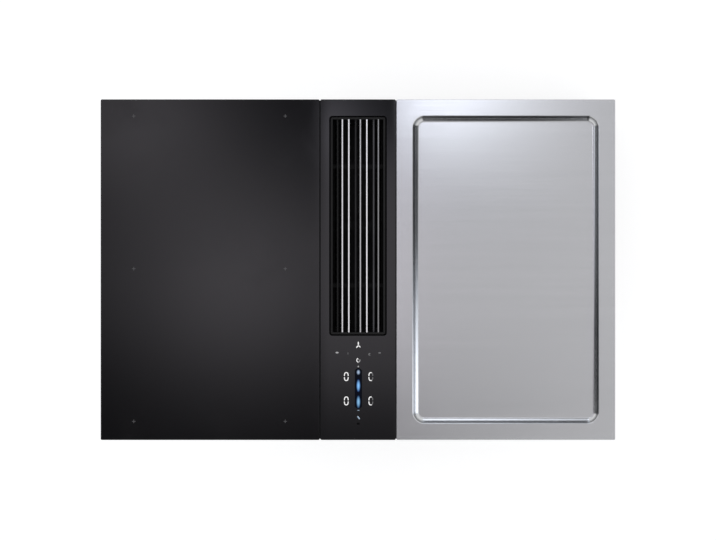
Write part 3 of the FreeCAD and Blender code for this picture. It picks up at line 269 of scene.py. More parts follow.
def bumpFrom(shader, height, strength, distance):
    bump = addNode(shader.id_data, "Bump", {"Strength": strength, "Distance": distance * mm})
    wire(height, bump.inputs["Height"])
    wire(bump.outputs["Normal"], shader.inputs["Normal"])


def paintedLightByPlace(coords, axis, stops):
    # painted light and shade that steps along one axis: each stop is a place in millimetres and the tone
    # from there on
    low, high = stops[0][0], stops[-1][0]
    ramp = addNode(coords.id_data, "ValToRGB")
    ramp.color_ramp.interpolation = "CONSTANT"
    elements = ramp.color_ramp.elements
    while len(elements) < len(stops):
        elements.new(1.0)
    for element, (place, tone) in zip(elements, stops):
        element.position = (place - low) / (high - low)
        element.color = (tone, tone, tone, 1)
    wire(spanMap(axisParts(coords)[axis], (low * mm, high * mm), unit), ramp.inputs[0])
    return ramp.outputs["Color"]


def shadeBy(shader, tone):
    # multiplies what feeds the base colour by a tone of painted light and shade
    colour = shader.inputs["Base Color"]
    wire(vectorSum("MULTIPLY", colour.links[0].from_socket, tone), colour)


# finishes of the pieces, kept by name
finishes = {}


def addFinishes(make, looks):
    for name, look in looks.items():
        finishes[name] = make(name, **look)


glass = dict(index=1.52, slowMarks=7.0, fastMarks=90.0, edge=(0.014, 0.015, 0.016), edgeWidth=1.0,
             edgeRough=0.25, flecks=420.0, fleckSize=0.25, fleckShare=0.25, fleckGain=1.9)
glassLooks = {
    "blackGlass": dict(low=glassLow, high=glassHigh, colour=(0.0045, 0.0045, 0.0052), rough=(0.07, 0.16)),
    "panelGlass": dict(low=panelLow, high=panelHigh, colour=(0.008, 0.008, 0.0088), rough=(0.035, 0.08)),
}


def blackGlass(name, low, high, colour, rough):
    # dark glass with pale flecks in it, handling marks on it and a dull ground edge
    material, shader, coords = startMaterial(name, IOR=glass["index"])
    marks = useGroup(handlingMarks, coords, Slow=glass["slowMarks"], Fast=glass["fastMarks"])["Mask"]
    band = useGroup(edgeBand, coords, Low=low, High=high, Width=glass["edgeWidth"] * mm)["Band"]
    specks = pattern("Voronoi", coords, {"Scale": glass["flecks"]})
    flecks = spanMap(specks.outputs["Distance"], (0.0, glass["fleckSize"]), (1.0, 0.0))
    share = sums("MULTIPLY", flecks, glass["fleckShare"], clamp=True)
    body = blendColours(share, colour, times(colour, glass["fleckGain"]))
    paint(shader, band, body, glass["edge"])
    marked = spanMap(marks, unit, rough)
    wire(sums("MULTIPLY_ADD", band, glass["edgeRough"], marked), shader.inputs["Roughness"])
    return material


addFinishes(blackGlass, glassLooks)

# painted reflection: one tone for each bright strip, lower where a strip should catch less light; painted
# shade: a darker band on the griddle's wall than on its flats
stripPaintedReflection = dict(axis=0, stops=((-40.0, 0.87), (-18.0, 1.0), (-8.0, 0.54), (8.0, 1.0), (20.0, 0.3),
                                 (40.0, 0.3)))
wallPaintedShade = dict(axis=2, stops=((-12.0, 1.0), (1.6, 0.55), (6.9, 1.0), (12.0, 1.0)))
metal = dict(slowMarks=5.0, fastMarks=60.0, markRough=0.04, grainDepth=0.2)
metalLooks = {
    "griddleSteel": dict(light=(0.595, 0.6, 0.61), dark=(0.56, 0.565, 0.575), rough=(0.17, 0.21),
                         bump=0.035, fine=(6, 1100, 6), broad=(1.2, 60, 1.2), tones=wallPaintedShade),
    "slatSteel": dict(light=(0.97, 0.97, 0.98), dark=(0.88, 0.88, 0.89), rough=(0.12, 0.2), bump=0.05,
                      fine=(900, 8, 900), broad=(60, 2, 60), tones=stripPaintedReflection),
    "springSteel": dict(light=(0.46, 0.47, 0.48), dark=(0.36, 0.36, 0.37), rough=(0.28, 0.42), bump=0.08,
                        fine=(700, 30, 20), broad=(60, 4, 4)),
    "rolledAluminium": dict(light=(0.74, 0.75, 0.76), dark=(0.66, 0.67, 0.68), rough=(0.3, 0.42),
                            bump=0.06, fine=(20, 600, 20), broad=(3, 50, 3)),
    "motorCasting": dict(light=(0.48, 0.49, 0.5), dark=(0.38, 0.39, 0.4), rough=(0.4, 0.55), bump=0.2,
                         fine=(300, 300, 300), broad=(40, 40, 40)),
    "sensorMetal": dict(light=(0.55, 0.55, 0.55), dark=(0.45, 0.45, 0.45), rough=(0.25, 0.4), bump=0.05,
                        fine=(600, 600, 10), broad=(50, 50, 3)),
}


def brushedMetal(name, light, dark, rough, bump, fine, broad, tones=None):
    # streaks of two tones along the grain, whose fine lines also give the gloss and the bump
    material, shader, coords = startMaterial(name, Metallic=1.0)
    grain = useGroup(drawnGrain, coords, Fine=fine, Broad=broad)
    marks = useGroup(handlingMarks, coords, Slow=metal["slowMarks"], Fast=metal["fastMarks"])["Mask"]
    paint(shader, spanMap(grain["Streak"], noiseSpan, unit), dark, light)
    gloss = spanMap(grain["Height"], noiseSpan, rough)
    wire(sums("MULTIPLY_ADD", marks, metal["markRough"], gloss), shader.inputs["Roughness"])
    bumpFrom(shader, grain["Height"], bump, metal["grainDepth"])
    # painted light and shade: a tone by place darkens some bright strips and the wall of the griddle's well
    if tones:
        shadeBy(shader, paintedLightByPlace(coords, **tones))
    return material


addFinishes(brushedMetal, metalLooks)

# painted light: the low slats are painted lighter from one to the next, where more light falls on them; grow
# lifts the tones above the very dark base
slatPaintedLight = dict(axis=0, stops=((-40.0, 0.04), (-6.0, 0.22), (0.0, 0.04), (21.0, 1.0), (27.0, 0.04),
                                (40.0, 0.04)))
skin = dict(patches=14.0, roughSwing=0.06, pimpleDepth=0.15)
plasticLooks = {
    "grilleBlack": dict(colour=(0.0035, 0.0035, 0.0038), rough=0.5, bump=0.12, gloss=0.25),
    "slatBlack": dict(colour=(0.0035, 0.0035, 0.0038), rough=0.5, bump=0.12, gloss=0.25, tones=slatPaintedLight,
                      grow=25.0),
    # painted shade: the filter behind the slats is near black, for the shade deep in the intake
    "filterSteel": dict(colour=(0.006, 0.006, 0.0065), rough=0.55, bump=0.2, pimple=600.0, gloss=0.2),
    "housingPlastic": dict(colour=(0.022, 0.022, 0.024), rough=0.5, bump=0.25),
    "trayPlastic": dict(colour=(0.15, 0.155, 0.16), rough=0.42, bump=0.15),
    "fanPlastic": dict(colour=(0.045, 0.045, 0.05), rough=0.4, bump=0.12),
    "connectorPlastic": dict(colour=(0.5, 0.5, 0.47), rough=0.35, bump=0.1, spread=0.08),
    "glandPlastic": dict(colour=(0.08, 0.08, 0.085), rough=0.45, bump=0.15),
    "ferrite": dict(colour=(0.045, 0.045, 0.05), rough=0.75, bump=0.4, pimple=1300.0),
    "micaSheet": dict(colour=(0.55, 0.5, 0.4), rough=0.6, bump=0.2, pimple=300.0),
    "capacitorSleeve": dict(colour=(0.03, 0.05, 0.13), rough=0.25, bump=0.05),
    "heaterTube": dict(colour=(0.09, 0.08, 0.075), rough=0.6, bump=0.3),
    "guideClear": dict(colour=(0.3, 0.5, 0.8), rough=0.2, bump=0.03, spread=0.1),
    "displayDark": dict(colour=(0.015, 0.015, 0.015), rough=0.2, bump=0.03),
}


def mouldedPlastic(name, colour, rough, bump, pimple=900.0, spread=0.25, gloss=0.5, tones=None, grow=1.0):
    # a skin of fine pimples; tone and gloss swing slowly about their settings
    material, shader, coords = startMaterial(name, Specular_IOR_Level=gloss)
    surface = useGroup(mouldedSkin, coords, Pimple=pimple, Tone=skin["patches"])
    tone = spanMap(surface["Tone"], noiseSpan, unit)
    paint(shader, tone, times(colour, 1 - spread), times(colour, 1 + spread))
    swing = skin["roughSwing"]
    roughen(shader, surface["Tone"], noiseSpan, (rough - swing, rough + swing))
    bumpFrom(shader, surface["Height"], bump, skin["pimpleDepth"])
    # painted light: a tone by place lightens some of the low slats
    if tones:
        shadeBy(shader, scaledBy(paintedLightByPlace(coords, **tones), grow))
    return material


addFinishes(mouldedPlastic, plasticLooks)

zinc = dict(colour=(0.56, 0.57, 0.58), cells=130.0, dark=0.9, light=1.08, rough=(0.34, 0.46), bump=0.05,
            depth=0.2)


def spangledZinc(name):
    # zinc crystals: one flat random tone for each cell
    material, shader, coords = startMaterial(name, Metallic=1.0)
    cells = pattern("Voronoi", coords, {"Scale": zinc["cells"]})
    tone = axisParts(cells.outputs["Color"])[0]
    paint(shader, tone, times(zinc["colour"], zinc["dark"]), times(zinc["colour"], zinc["light"]))
    roughen(shader, tone, unit, zinc["rough"])
    bumpFrom(shader, tone, zinc["bump"], zinc["depth"])
    return material


rubber = dict(colour=(0.0025, 0.0025, 0.0028), gloss=0.06, pimple=1500.0, patches=40.0, dark=0.7,
              light=1.5, rough=(0.75, 0.95), bump=0.15, depth=0.2)


def softRubber(name):
    # dull black rubber with a fine skin
    material, shader, coords = startMaterial(name, Specular_IOR_Level=rubber["gloss"])
    surface = useGroup(mouldedSkin, coords, Pimple=rubber["pimple"], Tone=rubber["patches"])
    darker, lighter = times(rubber["colour"], rubber["dark"]), times(rubber["colour"], rubber["light"])
    paint(shader, surface["Tone"], darker, lighter)
    roughen(shader, surface["Tone"], noiseSpan, rubber["rough"])
    bumpFrom(shader, surface["Height"], rubber["bump"], rubber["depth"])
    return material


fibreLooks = {
    "woundCopper": dict(metallic=1.0, noise=dict(Scale=500.0, Detail=2.0), dark=(0.42, 0.16, 0.07),
                        light=(0.74, 0.35, 0.18), span=noiseSpan, rough=(0.3, 0.5), bump=0.3, depth=0.3),
    "mineralWool": dict(metallic=0.0, noise=dict(Scale=260.0, Detail=8.0, Roughness=0.75, Distortion=2.0),
                        dark=(0.42, 0.36, 0.22), light=(0.68, 0.62, 0.45), span=(0.2, 0.8),
                        rough=(0.85, 1.0), bump=0.8, depth=2.0),
}


def fibrous(name, metallic, noise, dark, light, span, rough, bump, depth):
    # wound strands or matted fibres: one noise gives the tone, the gloss and the bump
    material, shader, coords = startMaterial(name, Metallic=metallic)
    fibres = pattern("Noise", coords, noise).outputs["Fac"]
    paint(shader, fibres, dark, light)
    roughen(shader, fibres, span, rough)
    bumpFrom(shader, fibres, bump, depth)
    return material


addFinishes(fibrous, fibreLooks)

board = dict(tracks={"Scale": 60.0, "Mortar Size": 0.03, "Color1": (0.015, 0.10, 0.04, 1),
                     "Color2": (0.02, 0.13, 0.05, 1), "Mortar": (0.05, 0.22, 0.09, 1)}, rough=(0.35, 0.25),
             bump=0.1, depth=0.1)


def printedBoard(name):
    # solder mask with thin tracks: lines of a brick pattern over a green lacquer
    material, shader, coords = startMaterial(name)
    tracks = pattern("Brick", coords, board["tracks"]).outputs
    wire(tracks["Color"], shader.inputs["Base Color"])
    roughen(shader, tracks["Fac"], unit, board["rough"])
    bumpFrom(shader, tracks["Fac"], board["bump"], board["depth"])
    return material


finishes["zincSheet"] = spangledZinc("zincSheet")
finishes["sealRubber"] = softRubber("sealRubber")
finishes["printedBoard"] = printedBoard("printedBoard")

nodeFinish = {
    "blackGlass": "hob_glass",
    "panelGlass": "extractor_panel",
    "griddleSteel": "griddle_plate",
    "slatSteel": "slat_edges",
    "grilleBlack": "grille_frame",
    "slatBlack": "grille_slats",
    "zincSheet": "hob_case griddle_case support_rails tray_runners coil_plate_posts heater_clamps "
                 "cooling_fan_guard",
    "springSteel": "worktop_clips clip_screws impeller_shaft flap_pin motor_bearings",
    "filterSteel": "filter_tray filter_mats filter_handle",
    "housingPlastic": "suction_box scroll_case scroll_lid intake_plenum duct_outlet control_case",
    "trayPlastic": "drip_tray",
    "fanPlastic": "impeller inlet_ring backflow_flap cooling_fan_frame cooling_fan_rotor",
    "connectorPlastic": "control_sockets terminal_blocks coil_formers",
    "glandPlastic": "cable_glands",
    "sealRubber": "worktop_seal joint_sealant plate_bonds panel_gasket tray_seal",
    "rolledAluminium": "coil_plate heat_sink heat_spreader",
    "motorCasting": "fan_motor",
    "woundCopper": "coils",
    "ferrite": "coil_ferrites chokes",
    "micaSheet": "mica_sheet",
    "printedBoard": "power_board touch_board",
    "capacitorSleeve": "capacitors",
    "sensorMetal": "coil_sensors griddle_probes",
    "heaterTube": "heaters",
    "guideClear": "light_guide",
    "displayDark": "zone_displays",
    "mineralWool": "insulation_mat",
}


def dressNodes():
    dressed = set()
    for finish, names in nodeFinish.items():
        for name in names.split():
            mesh = nodes[name].data
            mesh.materials.clear()
            mesh.materials.append(finishes[finish])
            dressed.add(name)
    print("nodes dressed, left over:", sorted(set(nodes) - dressed))


dressNodes()


# lights behind the glass

# the colour and strength of the light, and the colour of the print when it is dark
lightLooks = {
    "lightWhite": dict(colour=(1.0, 1.0, 1.0), strength=0.95, base=(0.1, 0.1, 0.1)),
    "lightDim": dict(colour=(0.62, 0.62, 0.63), strength=0.55, base=(0.08, 0.08, 0.08)),
    "lightFaint": dict(colour=(0.35, 0.35, 0.36), strength=0.3, base=(0.06, 0.06, 0.06)),
    "lightPale": dict(colour=(0.5, 0.68, 0.86), strength=0.58, base=(0.1, 0.1, 0.12)),
    # painted light: the printed crosses also give off a faint glow, though no lamp lies behind them
    "printGrey": dict(colour=(0.1, 0.1, 0.1), strength=0.1, base=(0.1, 0.1, 0.105)),
}
lightGrain = dict(noise=dict(Scale=700.0, Detail=2.0), rough=0.35, darkLight=0.85, darkBase=0.8)


def glow(name, colour, strength, base):
    # a printed mark with a faint grain in its light and its colour
    material, shader, coords = startMaterial(name, Roughness=lightGrain["rough"], Emission_Strength=strength)
    grain = pattern("Noise", coords, lightGrain["noise"]).outputs["Fac"]
    paint(shader, grain, times(colour, lightGrain["darkLight"]), colour, "Emission Color")
    paint(shader, grain, times(base, lightGrain["darkBase"]), base)
    return material


lampGlass = dict(Roughness=0.4, Base_Color=(0.002, 0.003, 0.006, 1), Specular_IOR_Level=0.05)
lampFall = 1.15


def sliderGlow(name, core, rim, strength):
    # from the rim's colour to the core's by a sine arch along the map times one across it
    material, shader, uv = startMaterial(name, "UV", Emission_Strength=strength, **lampGlass)
    along, across = axisParts(uv)[:2]
    arches = [sums("SINE", sums("MULTIPLY", share, math.pi)) for share in (along, across)]
    both = sums("MULTIPLY", *arches, clamp=True)
    paint(shader, sums("POWER", both, lampFall, clamp=True), rim, core, "Emission Color")
    return material


addFinishes(glow, lightLooks)
print("finishes ready:", len(finishes))


# flat marks, in millimetres in plan

inlay = dict(low=plateTop - 0.02 * mm, high=plateTop + 0.06 * mm, slotHigh=plateTop + 0.02 * mm)


def ribbon(points, half, high=inlay["high"], closed=False):
    # a flat bar carried along a path: its section is a rectangle, and half is its half width at each point
    points = np.asarray(points, float) * mm
    count = len(points)
    half = np.broadcast_to(np.asarray(half, float) * mm, (count,))
    if closed:
        ahead = np.roll(points, -1, 0) - np.roll(points, 1, 0)
    else:
        ahead = np.gradient(points, axis=0)
    ahead = ahead / np.linalg.norm(ahead, axis=1, keepdims=True)
    side = np.column_stack([-ahead[:, 1], ahead[:, 0]]) * half[:, None]
    corners = ((1, inlay["low"]), (-1, inlay["low"]), (-1, high), (1, high))  # side of the path, and height
    rings = np.stack([np.column_stack([points + turn * side, np.full(count, z)]) for turn, z in corners], 1)
    along = np.linspace(0, 1, count)
    uvs = np.stack([np.column_stack([along, np.full(count, v)]) for v in (0, 1, 1, 0)], 1)
    steps = count if closed else count - 1
    i, j = np.meshgrid(np.arange(steps), np.arange(4), indexing="ij")
    nextI, nextJ = (i + 1) % count, (j + 1) % 4
    faces = np.stack([i * 4 + j, nextI * 4 + j, nextI * 4 + nextJ, i * 4 + nextJ], -1).reshape(-1, 4)
    if not closed:
        last = (count - 1) * 4
        faces = np.vstack([faces, [[0, 1, 2, 3], [last + 3, last + 2, last + 1, last]]])
    return rings.reshape(-1, 3), faces, uvs.reshape(-1, 2)


def joinParts(parts):
    verts, faces, uvs, start = [], [], [], 0
    for partVerts, partFaces, partUvs in parts:
        verts.append(partVerts)
        faces.append(partFaces + start)
        uvs.append(partUvs)
        start += len(partVerts)
    return np.vstack(verts), np.vstack(faces), np.vstack(uvs)


def putPiece(name, parts, finish, body="cooktop"):
    verts, faces, uvs = joinParts(parts)
    mesh = bpy.data.meshes.new(name)
    mesh.from_pydata(verts.tolist(), [], faces.tolist())
    layer = mesh.uv_layers.new(name="UVMap")
    loops = np.empty(len(mesh.loops), dtype=np.int32)
    mesh.loops.foreach_get("vertex_index", loops)
    layer.data.foreach_set("uv", uvs[loops].astype(np.float32).ravel())
    mesh.materials.append(finishes[finish])
    mesh.update()
    piece = bpy.data.objects.new(name, mesh)
    scene.collection.objects.link(piece)
    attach(piece, body)


def barPath(x0, y0, x1, y1, count):
    t = np.linspace(0, 1, count)[:, None]
    return np.array([[x0, y0]]) * (1 - t) + np.array([[x1, y1]]) * t


def arcPath(x, y, radii, start, end, count=24, closed=False):
    angle = np.radians(np.linspace(start, end, count, endpoint=not closed))
    return np.column_stack([x + radii[0] * np.cos(angle), y + radii[1] * np.sin(angle)])


def heading(degrees):
    return np.array([math.cos(math.radians(degrees)), math.sin(math.radians(degrees))])


stroke = dict(points=9, tip=0.18, blunt=0.12)


def bar(x0, y0, x1, y1, half):
    # a straight stroke: from its blunt ends the width rises evenly over the tip's share of the length
    t = np.linspace(0, 1, stroke["points"])
    rise = np.minimum(t, 1 - t) / stroke["tip"] + stroke["blunt"]
    return ribbon(barPath(x0, y0, x1, y1, stroke["points"]), np.minimum(1, rise) * half)


leafShape = dict(points=13, ends=0.35, power=0.7)


def leaf(x0, y0, x1, y1, half, count=leafShape["points"]):
    # a leaf: its width is a sine arch, made fuller by a power, on top of blunt ends
    arch = np.sin(np.pi * np.linspace(0, 1, count)) ** leafShape["power"]
    width = leafShape["ends"] + (1 - leafShape["ends"]) * arch
    return ribbon(barPath(x0, y0, x1, y1, count), width * half)


# printed and lit marks on the glass

zoneMarks = dict(insetLeft=50.0, insetRight=52.0, insetRear=25.3, insetFront=28.2, arm=2.6, half=0.45,
                 points=3)


def buildZoneMarks():
    # six small crosses, each a bar across and two short bars that meet it
    arm, half, points = (zoneMarks[key] for key in ("arm", "half", "points"))
    xs = (glassLow[0] / mm + zoneMarks["insetLeft"], glassHigh[0] / mm - zoneMarks["insetRight"])
    front = glassLow[1] / mm + zoneMarks["insetFront"]
    rear = glassHigh[1] / mm - zoneMarks["insetRear"]
    parts = []
    for x in xs:
        for y in (front, (front + rear) / 2, rear):
            parts.append(ribbon(barPath(x - arm, y, x + arm, y, points), half))
            for side in (-1, 1):
                parts.append(ribbon(barPath(x, y + side * half, x, y + side * arm, points), half))
    putPiece("zone_marks", parts, "printGrey")


# gap, litFrom and faintTo are angles round the nought, and square is the power of its outline
digits = dict(x=(-17.7, 19.4), y=(-161.6, -198.4), width=5.8, height=12.0, half=0.7, square=2.8, points=15,
              gap=4.2, litFrom=72, faintTo=68)


def zeroPart(x, y, start, end):
    # part of a nought: a superellipse in plan, taken between two angles
    angle = np.radians(np.linspace(start, end, digits["points"]))
    c, s = np.cos(angle), np.sin(angle)
    power = 2 / digits["square"]
    outlineX = x + digits["width"] / 2 * np.sign(c) * np.abs(c) ** power
    outlineY = y + digits["height"] / 2 * np.sign(s) * np.abs(s) ** power
    return ribbon(np.column_stack([outlineX, outlineY]), digits["half"])


def buildDigits():
    # the noughts on the right are faint on their right side
    left, right = digits["x"]
    gap, litFrom, faintTo = (digits[key] for key in ("gap", "litFrom", "faintTo"))
    lit, faint = [], []
    for y in digits["y"]:
        lit += [zeroPart(left, y, gap, 180 - gap), zeroPart(left, y, 180 + gap, 360 - gap)]
        lit += [zeroPart(right, y, litFrom, 180 - gap), zeroPart(right, y, 180 + gap, 360 - litFrom)]
        faint += [zeroPart(right, y, gap, faintTo), zeroPart(right, y, 360 - faintTo, 360 - gap)]
    putPiece("zone_digits", lit, "lightWhite")
    putPiece("zone_digits_faint", faint, "lightFaint")


# a blade is an angle, a length and a half width, and an arc is two angles and a half width
fanSign = dict(x=0.5, y=-114.4, hub=0.3, blades=((90, 5.5, 0.95), (231, 4.7, 0.95), (317, 4.4, 0.75)))
clockSign = dict(x=0.5, y=-137.0, radii=(2.4, 2.76), litArc=(95, 275, 0.62), dimArc=(280, 385, 0.55),
                 handX=0.7, handY=(-136.8, -135.4), handHalf=0.5)
dotSign = dict(x=0.5, y=-146.4, radii=(0.6, 0.7), half=0.5, points=14)
# the row of small signs: each has its place, its reach and its half width
rowSigns = dict(leftLeaf=(-31.6, -125.4, 2.3, 1.25), upright=(-15.2, -126.6, 1.9, 0.4),
                hook=(17.5, -128.0, 1.2, 0.75), hookAngles=(40, 320), rightLeaf=(32.7, -125.8, 2.0, 1.1))


def blade(angle, length, half):
    # one blade of the fan sign: a leaf that grows from the hub
    c, s = heading(angle)
    x, y, hub = (fanSign[key] for key in ("x", "y", "hub"))
    return leaf(x + c * hub, y + s * hub, x + c * length, y + s * length, half)


def clockArc(start, end, half):
    return ribbon(arcPath(clockSign["x"], clockSign["y"], clockSign["radii"], start, end), half)


def levelLeaf(x, y, reach, half):
    return leaf(x - reach, y, x + reach, y, half)


def buildSigns():
    lit = [blade(*values) for values in fanSign["blades"]]
    lit.append(clockArc(*clockSign["litArc"]))
    putPiece("touch_signs", lit, "lightWhite")

    handX, (handFoot, handTip) = clockSign["handX"], clockSign["handY"]
    dot = arcPath(dotSign["x"], dotSign["y"], dotSign["radii"], 0, 360, dotSign["points"], True)
    dim = [clockArc(*clockSign["dimArc"])]
    dim.append(bar(handX, handFoot, handX, handTip, clockSign["handHalf"]))
    dim.append(ribbon(dot, dotSign["half"], closed=True))
    dim.append(levelLeaf(*rowSigns["leftLeaf"]))
    putPiece("touch_signs_dim", dim, "lightDim")

    x, y, reach, half = rowSigns["upright"]
    faint = [bar(x, y - reach, x, y + reach, half)]
    x, y, reach, half = rowSigns["hook"]
    faint.append(ribbon(arcPath(x, y, (reach, reach), *rowSigns["hookAngles"]), half))
    faint.append(levelLeaf(*rowSigns["rightLeaf"]))
    putPiece("touch_signs_faint", faint, "lightFaint")


slot = dict(x=0.6, top=-148.8, foot=-210.4, half=5.4, straight=0.88, blunt=0.97, points=21,
            core=(0.001, 0.003, 0.014), rim=(0.0, 0.0, 0.001), strength=0.5)
lamps = {
    "pale": dict(top=-150.9, foot=-159.2, half=2.9, core=(0.4, 0.52, 0.7), rim=(0.001, 0.006, 0.02)),
    "blue": dict(top=-165.8, foot=-184.9, half=3.0, core=(0.24, 0.55, 1.0), rim=(0.0, 0.008, 0.07)),
    "sky": dict(top=-190.3, foot=-209.4, half=3.0, core=(0.24, 0.5, 0.78), rim=(0.0, 0.012, 0.06)),
}
lampShape = dict(points=17, strength=1.0)
# strokes by their two ends and half width
sliderSigns = ((-1.1, -212.6, 2.3, -212.6, 0.42), (-0.8, -221.3, 2.6, -226.1, 1.0))
sensorDot = (-2.0, -232.8, 2.8, -232.8, 1.5)


def buildSlider():
    # the slot has round ends: past its straight share the width follows a circle, cut a little short
    x = slot["x"]
    t = np.linspace(-1, 1, slot["points"])
    past = np.clip((np.abs(t) - slot["straight"]) / (1 - slot["straight"]), 0, slot["blunt"])
    path = barPath(x, slot["top"], x, slot["foot"], slot["points"])
    bed = ribbon(path, np.sqrt(1 - past ** 2) * slot["half"], inlay["slotHigh"])
    finishes["slotGlow"] = sliderGlow("slotGlow", slot["core"], slot["rim"], slot["strength"])
    putPiece("slider_slot", [bed], "slotGlow")
    for tone, lamp in lamps.items():
        finish = "lamp_" + tone
        finishes[finish] = sliderGlow(finish, lamp["core"], lamp["rim"], lampShape["strength"])
        part = leaf(x, lamp["top"], x, lamp["foot"], lamp["half"], lampShape["points"])
        putPiece("slider_lamp_" + tone, [part], finish)
    putPiece("slider_signs", [bar(*ends) for ends in sliderSigns], "lightPale")
    putPiece("sensor_dot", [bar(*sensorDot)], "sealRubber")


buildZoneMarks()
buildDigits()
buildSigns()
buildSlider()
print("marks on the glass built")


# small fasteners and moulded details below the worktop

def stripCap(count, start, flip):
    # closes an even ring with a strip of four-sided faces across it
    j = np.arange(count // 2 - 1)
    cap = np.stack([j, j + 1, count - 2 - j, count - 1 - j], 1) + start
    return cap[:, ::-1] if flip else cap


def ringFaces(rings, count):
    k, j = np.meshgrid(np.arange(rings - 1), np.arange(count), indexing="ij")
    here, above = k * count, (k + 1) * count
    nextJ = (j + 1) % count
    sides = np.stack([here + j, here + nextJ, above + nextJ, above + j], -1).reshape(-1, 4)
    return np.vstack([sides, stripCap(count, 0, True), stripCap(count, (rings - 1) * count, False)])


def ringUvs(rings, count):
    k, j = np.meshgrid(np.arange(rings) / (rings - 1), np.arange(count) / count, indexing="ij")
    return np.stack([j, k], -1).reshape(-1, 2)


# shares of the head's radius, and the first ring that is cut
crossSlot = dict(half=0.13, reach=0.6, firstRing=3)


def turned(base, axis, radii, heights, count=24, recess=0.0):
    # a profile of radius and height turned about a frame axis; recess presses a cross into its top
    axis = np.asarray(axis, float)
    side = np.array([1.0, 0.0, 0.0]) if axis[2] else np.cross(axis, (0.0, 0.0, 1.0))
    third = np.cross(axis, side)
    angle = np.arange(count) / count * 2 * np.pi
    r = np.asarray(radii, float)[:, None] * mm
    u, v = r * np.cos(angle), r * np.sin(angle)
    h = np.repeat(np.asarray(heights, float)[:, None] * mm, count, 1)
    widest = r.max()
    inArms = np.minimum(abs(u), abs(v)) < crossSlot["half"] * widest
    inReach = (r < crossSlot["reach"] * widest) & (np.arange(len(r)) >= crossSlot["firstRing"])[:, None]
    h = h - (inArms & inReach) * recess * mm
    verts = np.asarray(base, float) * mm + u[..., None] * side + v[..., None] * third + h[..., None] * axis
    return verts.reshape(-1, 3), ringFaces(len(r), count), ringUvs(len(r), count)


def swept(path, across, out, section, scale=1.0):
    # a section of width and height carried along a path; across and out are its two directions
    path = np.asarray(path, float) * mm
    section = np.asarray(section, float) * mm
    scale = np.broadcast_to(scale, (len(path),))
    wide = section[None, :, :1] * np.asarray(across, float)
    tall = section[None, :, 1:] * scale[:, None, None] * np.asarray(out, float)
    rings = path[:, None] + wide + tall
    return rings.reshape(-1, 3), ringFaces(len(path), len(section)), ringUvs(len(path), len(section))


screw = dict(radii=(3.4, 3.6, 3.5, 2.9, 2.0, 1.2, 0.5), heights=(-0.3, 0.0, 1.0, 1.9, 2.25, 2.35, 2.4),
             recess=1.1)


def screwAt(base, axis):
    return turned(base, axis, screw["radii"], screw["heights"], recess=screw["recess"])


# front and rear give how far the screws of those sides stand from the case's left and right end
caseScrews = dict(inset=14.0, middleY=-150.0, drop=9.0, front=(80.0, 80.0), rear=(110.0, 40.0))


def buildCaseScrews():
    # six screws under each case, two in its front and two in its rear
    inset = caseScrews["inset"]
    parts = []
    for name in ("hob_case", "griddle_case"):
        low, high = np.array(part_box(name)) / mm
        xs = (low[0] + inset, high[0] - inset)
        ys = (low[1] + inset, caseScrews["middleY"], high[1] - inset)
        parts += [screwAt((x, y, low[2]), (0, 0, -1)) for x in xs for y in ys]
        z = high[2] - caseScrews["drop"]
        sides = ((low[1], -1, caseScrews["front"]), (high[1], 1, caseScrews["rear"]))
        for y, facing, (fromLeft, fromRight) in sides:
            parts += [screwAt((x, y, z), (0, facing, 0)) for x in (low[0] + fromLeft, high[0] - fromRight)]
    putPiece("case_screws", parts, "springSteel")


# share says how far down the depth each radius of a boss lies, and window is in degrees
bosses = dict(angles=(248, 272, 296, 320, 344), window=7, out=1.6, sink=0.4, depth=34.0,
              radii=(2.2, 3.2, 4.4, 5.2, 5.4, 5.0), share=(1.0, 0.97, 0.7, 0.3, 0.02, 0.0))


def rimRadius(points, centre, degrees):
    # how far the scroll case reaches from the wheel's axis, by its points near one direction
    rel = points[:, :2] - centre
    turn = np.degrees(np.arctan2(rel[:, 1], rel[:, 0]))
    near = np.abs((turn - degrees + 180) % 360 - 180) < bosses["window"]
    return (rel[near] @ heading(degrees)).max()


def buildScrollBosses():
    # tapered bosses round the scroll case, each with the head of a lid screw
    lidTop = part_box("scroll_lid")[1][2] / mm
    centre = np.mean(np.array(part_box("impeller")), 0)[:2]
    mesh = nodes["scroll_case"].data
    points = np.empty(len(mesh.vertices) * 3, dtype=np.float32)
    mesh.vertices.foreach_get("co", points)
    points = points.reshape(-1, 3)
    heights = -np.array(bosses["share"]) * bosses["depth"]
    columns, heads = [], []
    for degrees in bosses["angles"]:
        reach = rimRadius(points, centre, degrees) + bosses["out"] * mm
        x, y = (centre + reach * heading(degrees)) / mm
        top = (x, y, lidTop - bosses["sink"])
        columns.append(turned(top, (0, 0, 1), bosses["radii"], heights))
        heads.append(screwAt(top, (0, 0, 1)))
    putPiece("scroll_bosses", columns, "housingPlastic")
    putPiece("scroll_screws", heads, "springSteel")


# the rear ribs by x and the side ribs by y; foot and head give how far they stay off the shaft's ends
ribs = dict(section=((-1.6, -0.2), (1.6, -0.2), (1.25, 1.4), (0.7, 2.2), (-0.7, 2.2), (-1.25, 1.4)),
            points=7, rear=(-30.0, 0.0, 30.0), rearFoot=6.0, rearHead=20.0,
            side=(-70.0, -20.0, 30.0, 170.0, 215.0), sideFoot=12.0, sideHead=66.0)


def uprightPath(x, y, foot, head):
    z = np.linspace(foot, head, ribs["points"])
    return np.column_stack([np.full_like(z, x), np.full_like(z, y), z])


def buildBoxRibs():
    # upright stiffening ribs on the shaft under the intake
    low, high = np.array(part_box("suction_box")) / mm
    parts = []
    for x in ribs["rear"]:
        path = uprightPath(x, high[1], low[2] + ribs["rearFoot"], high[2] - ribs["rearHead"])
        parts.append(swept(path, (-1, 0, 0), (0, 1, 0), ribs["section"]))
    for y in ribs["side"]:
        path = uprightPath(low[0], y, low[2] + ribs["sideFoot"], high[2] - ribs["sideHead"])
        parts.append(swept(path, (0, -1, 0), (-1, 0, 0), ribs["section"]))
    putPiece("box_ribs", parts, "housingPlastic")


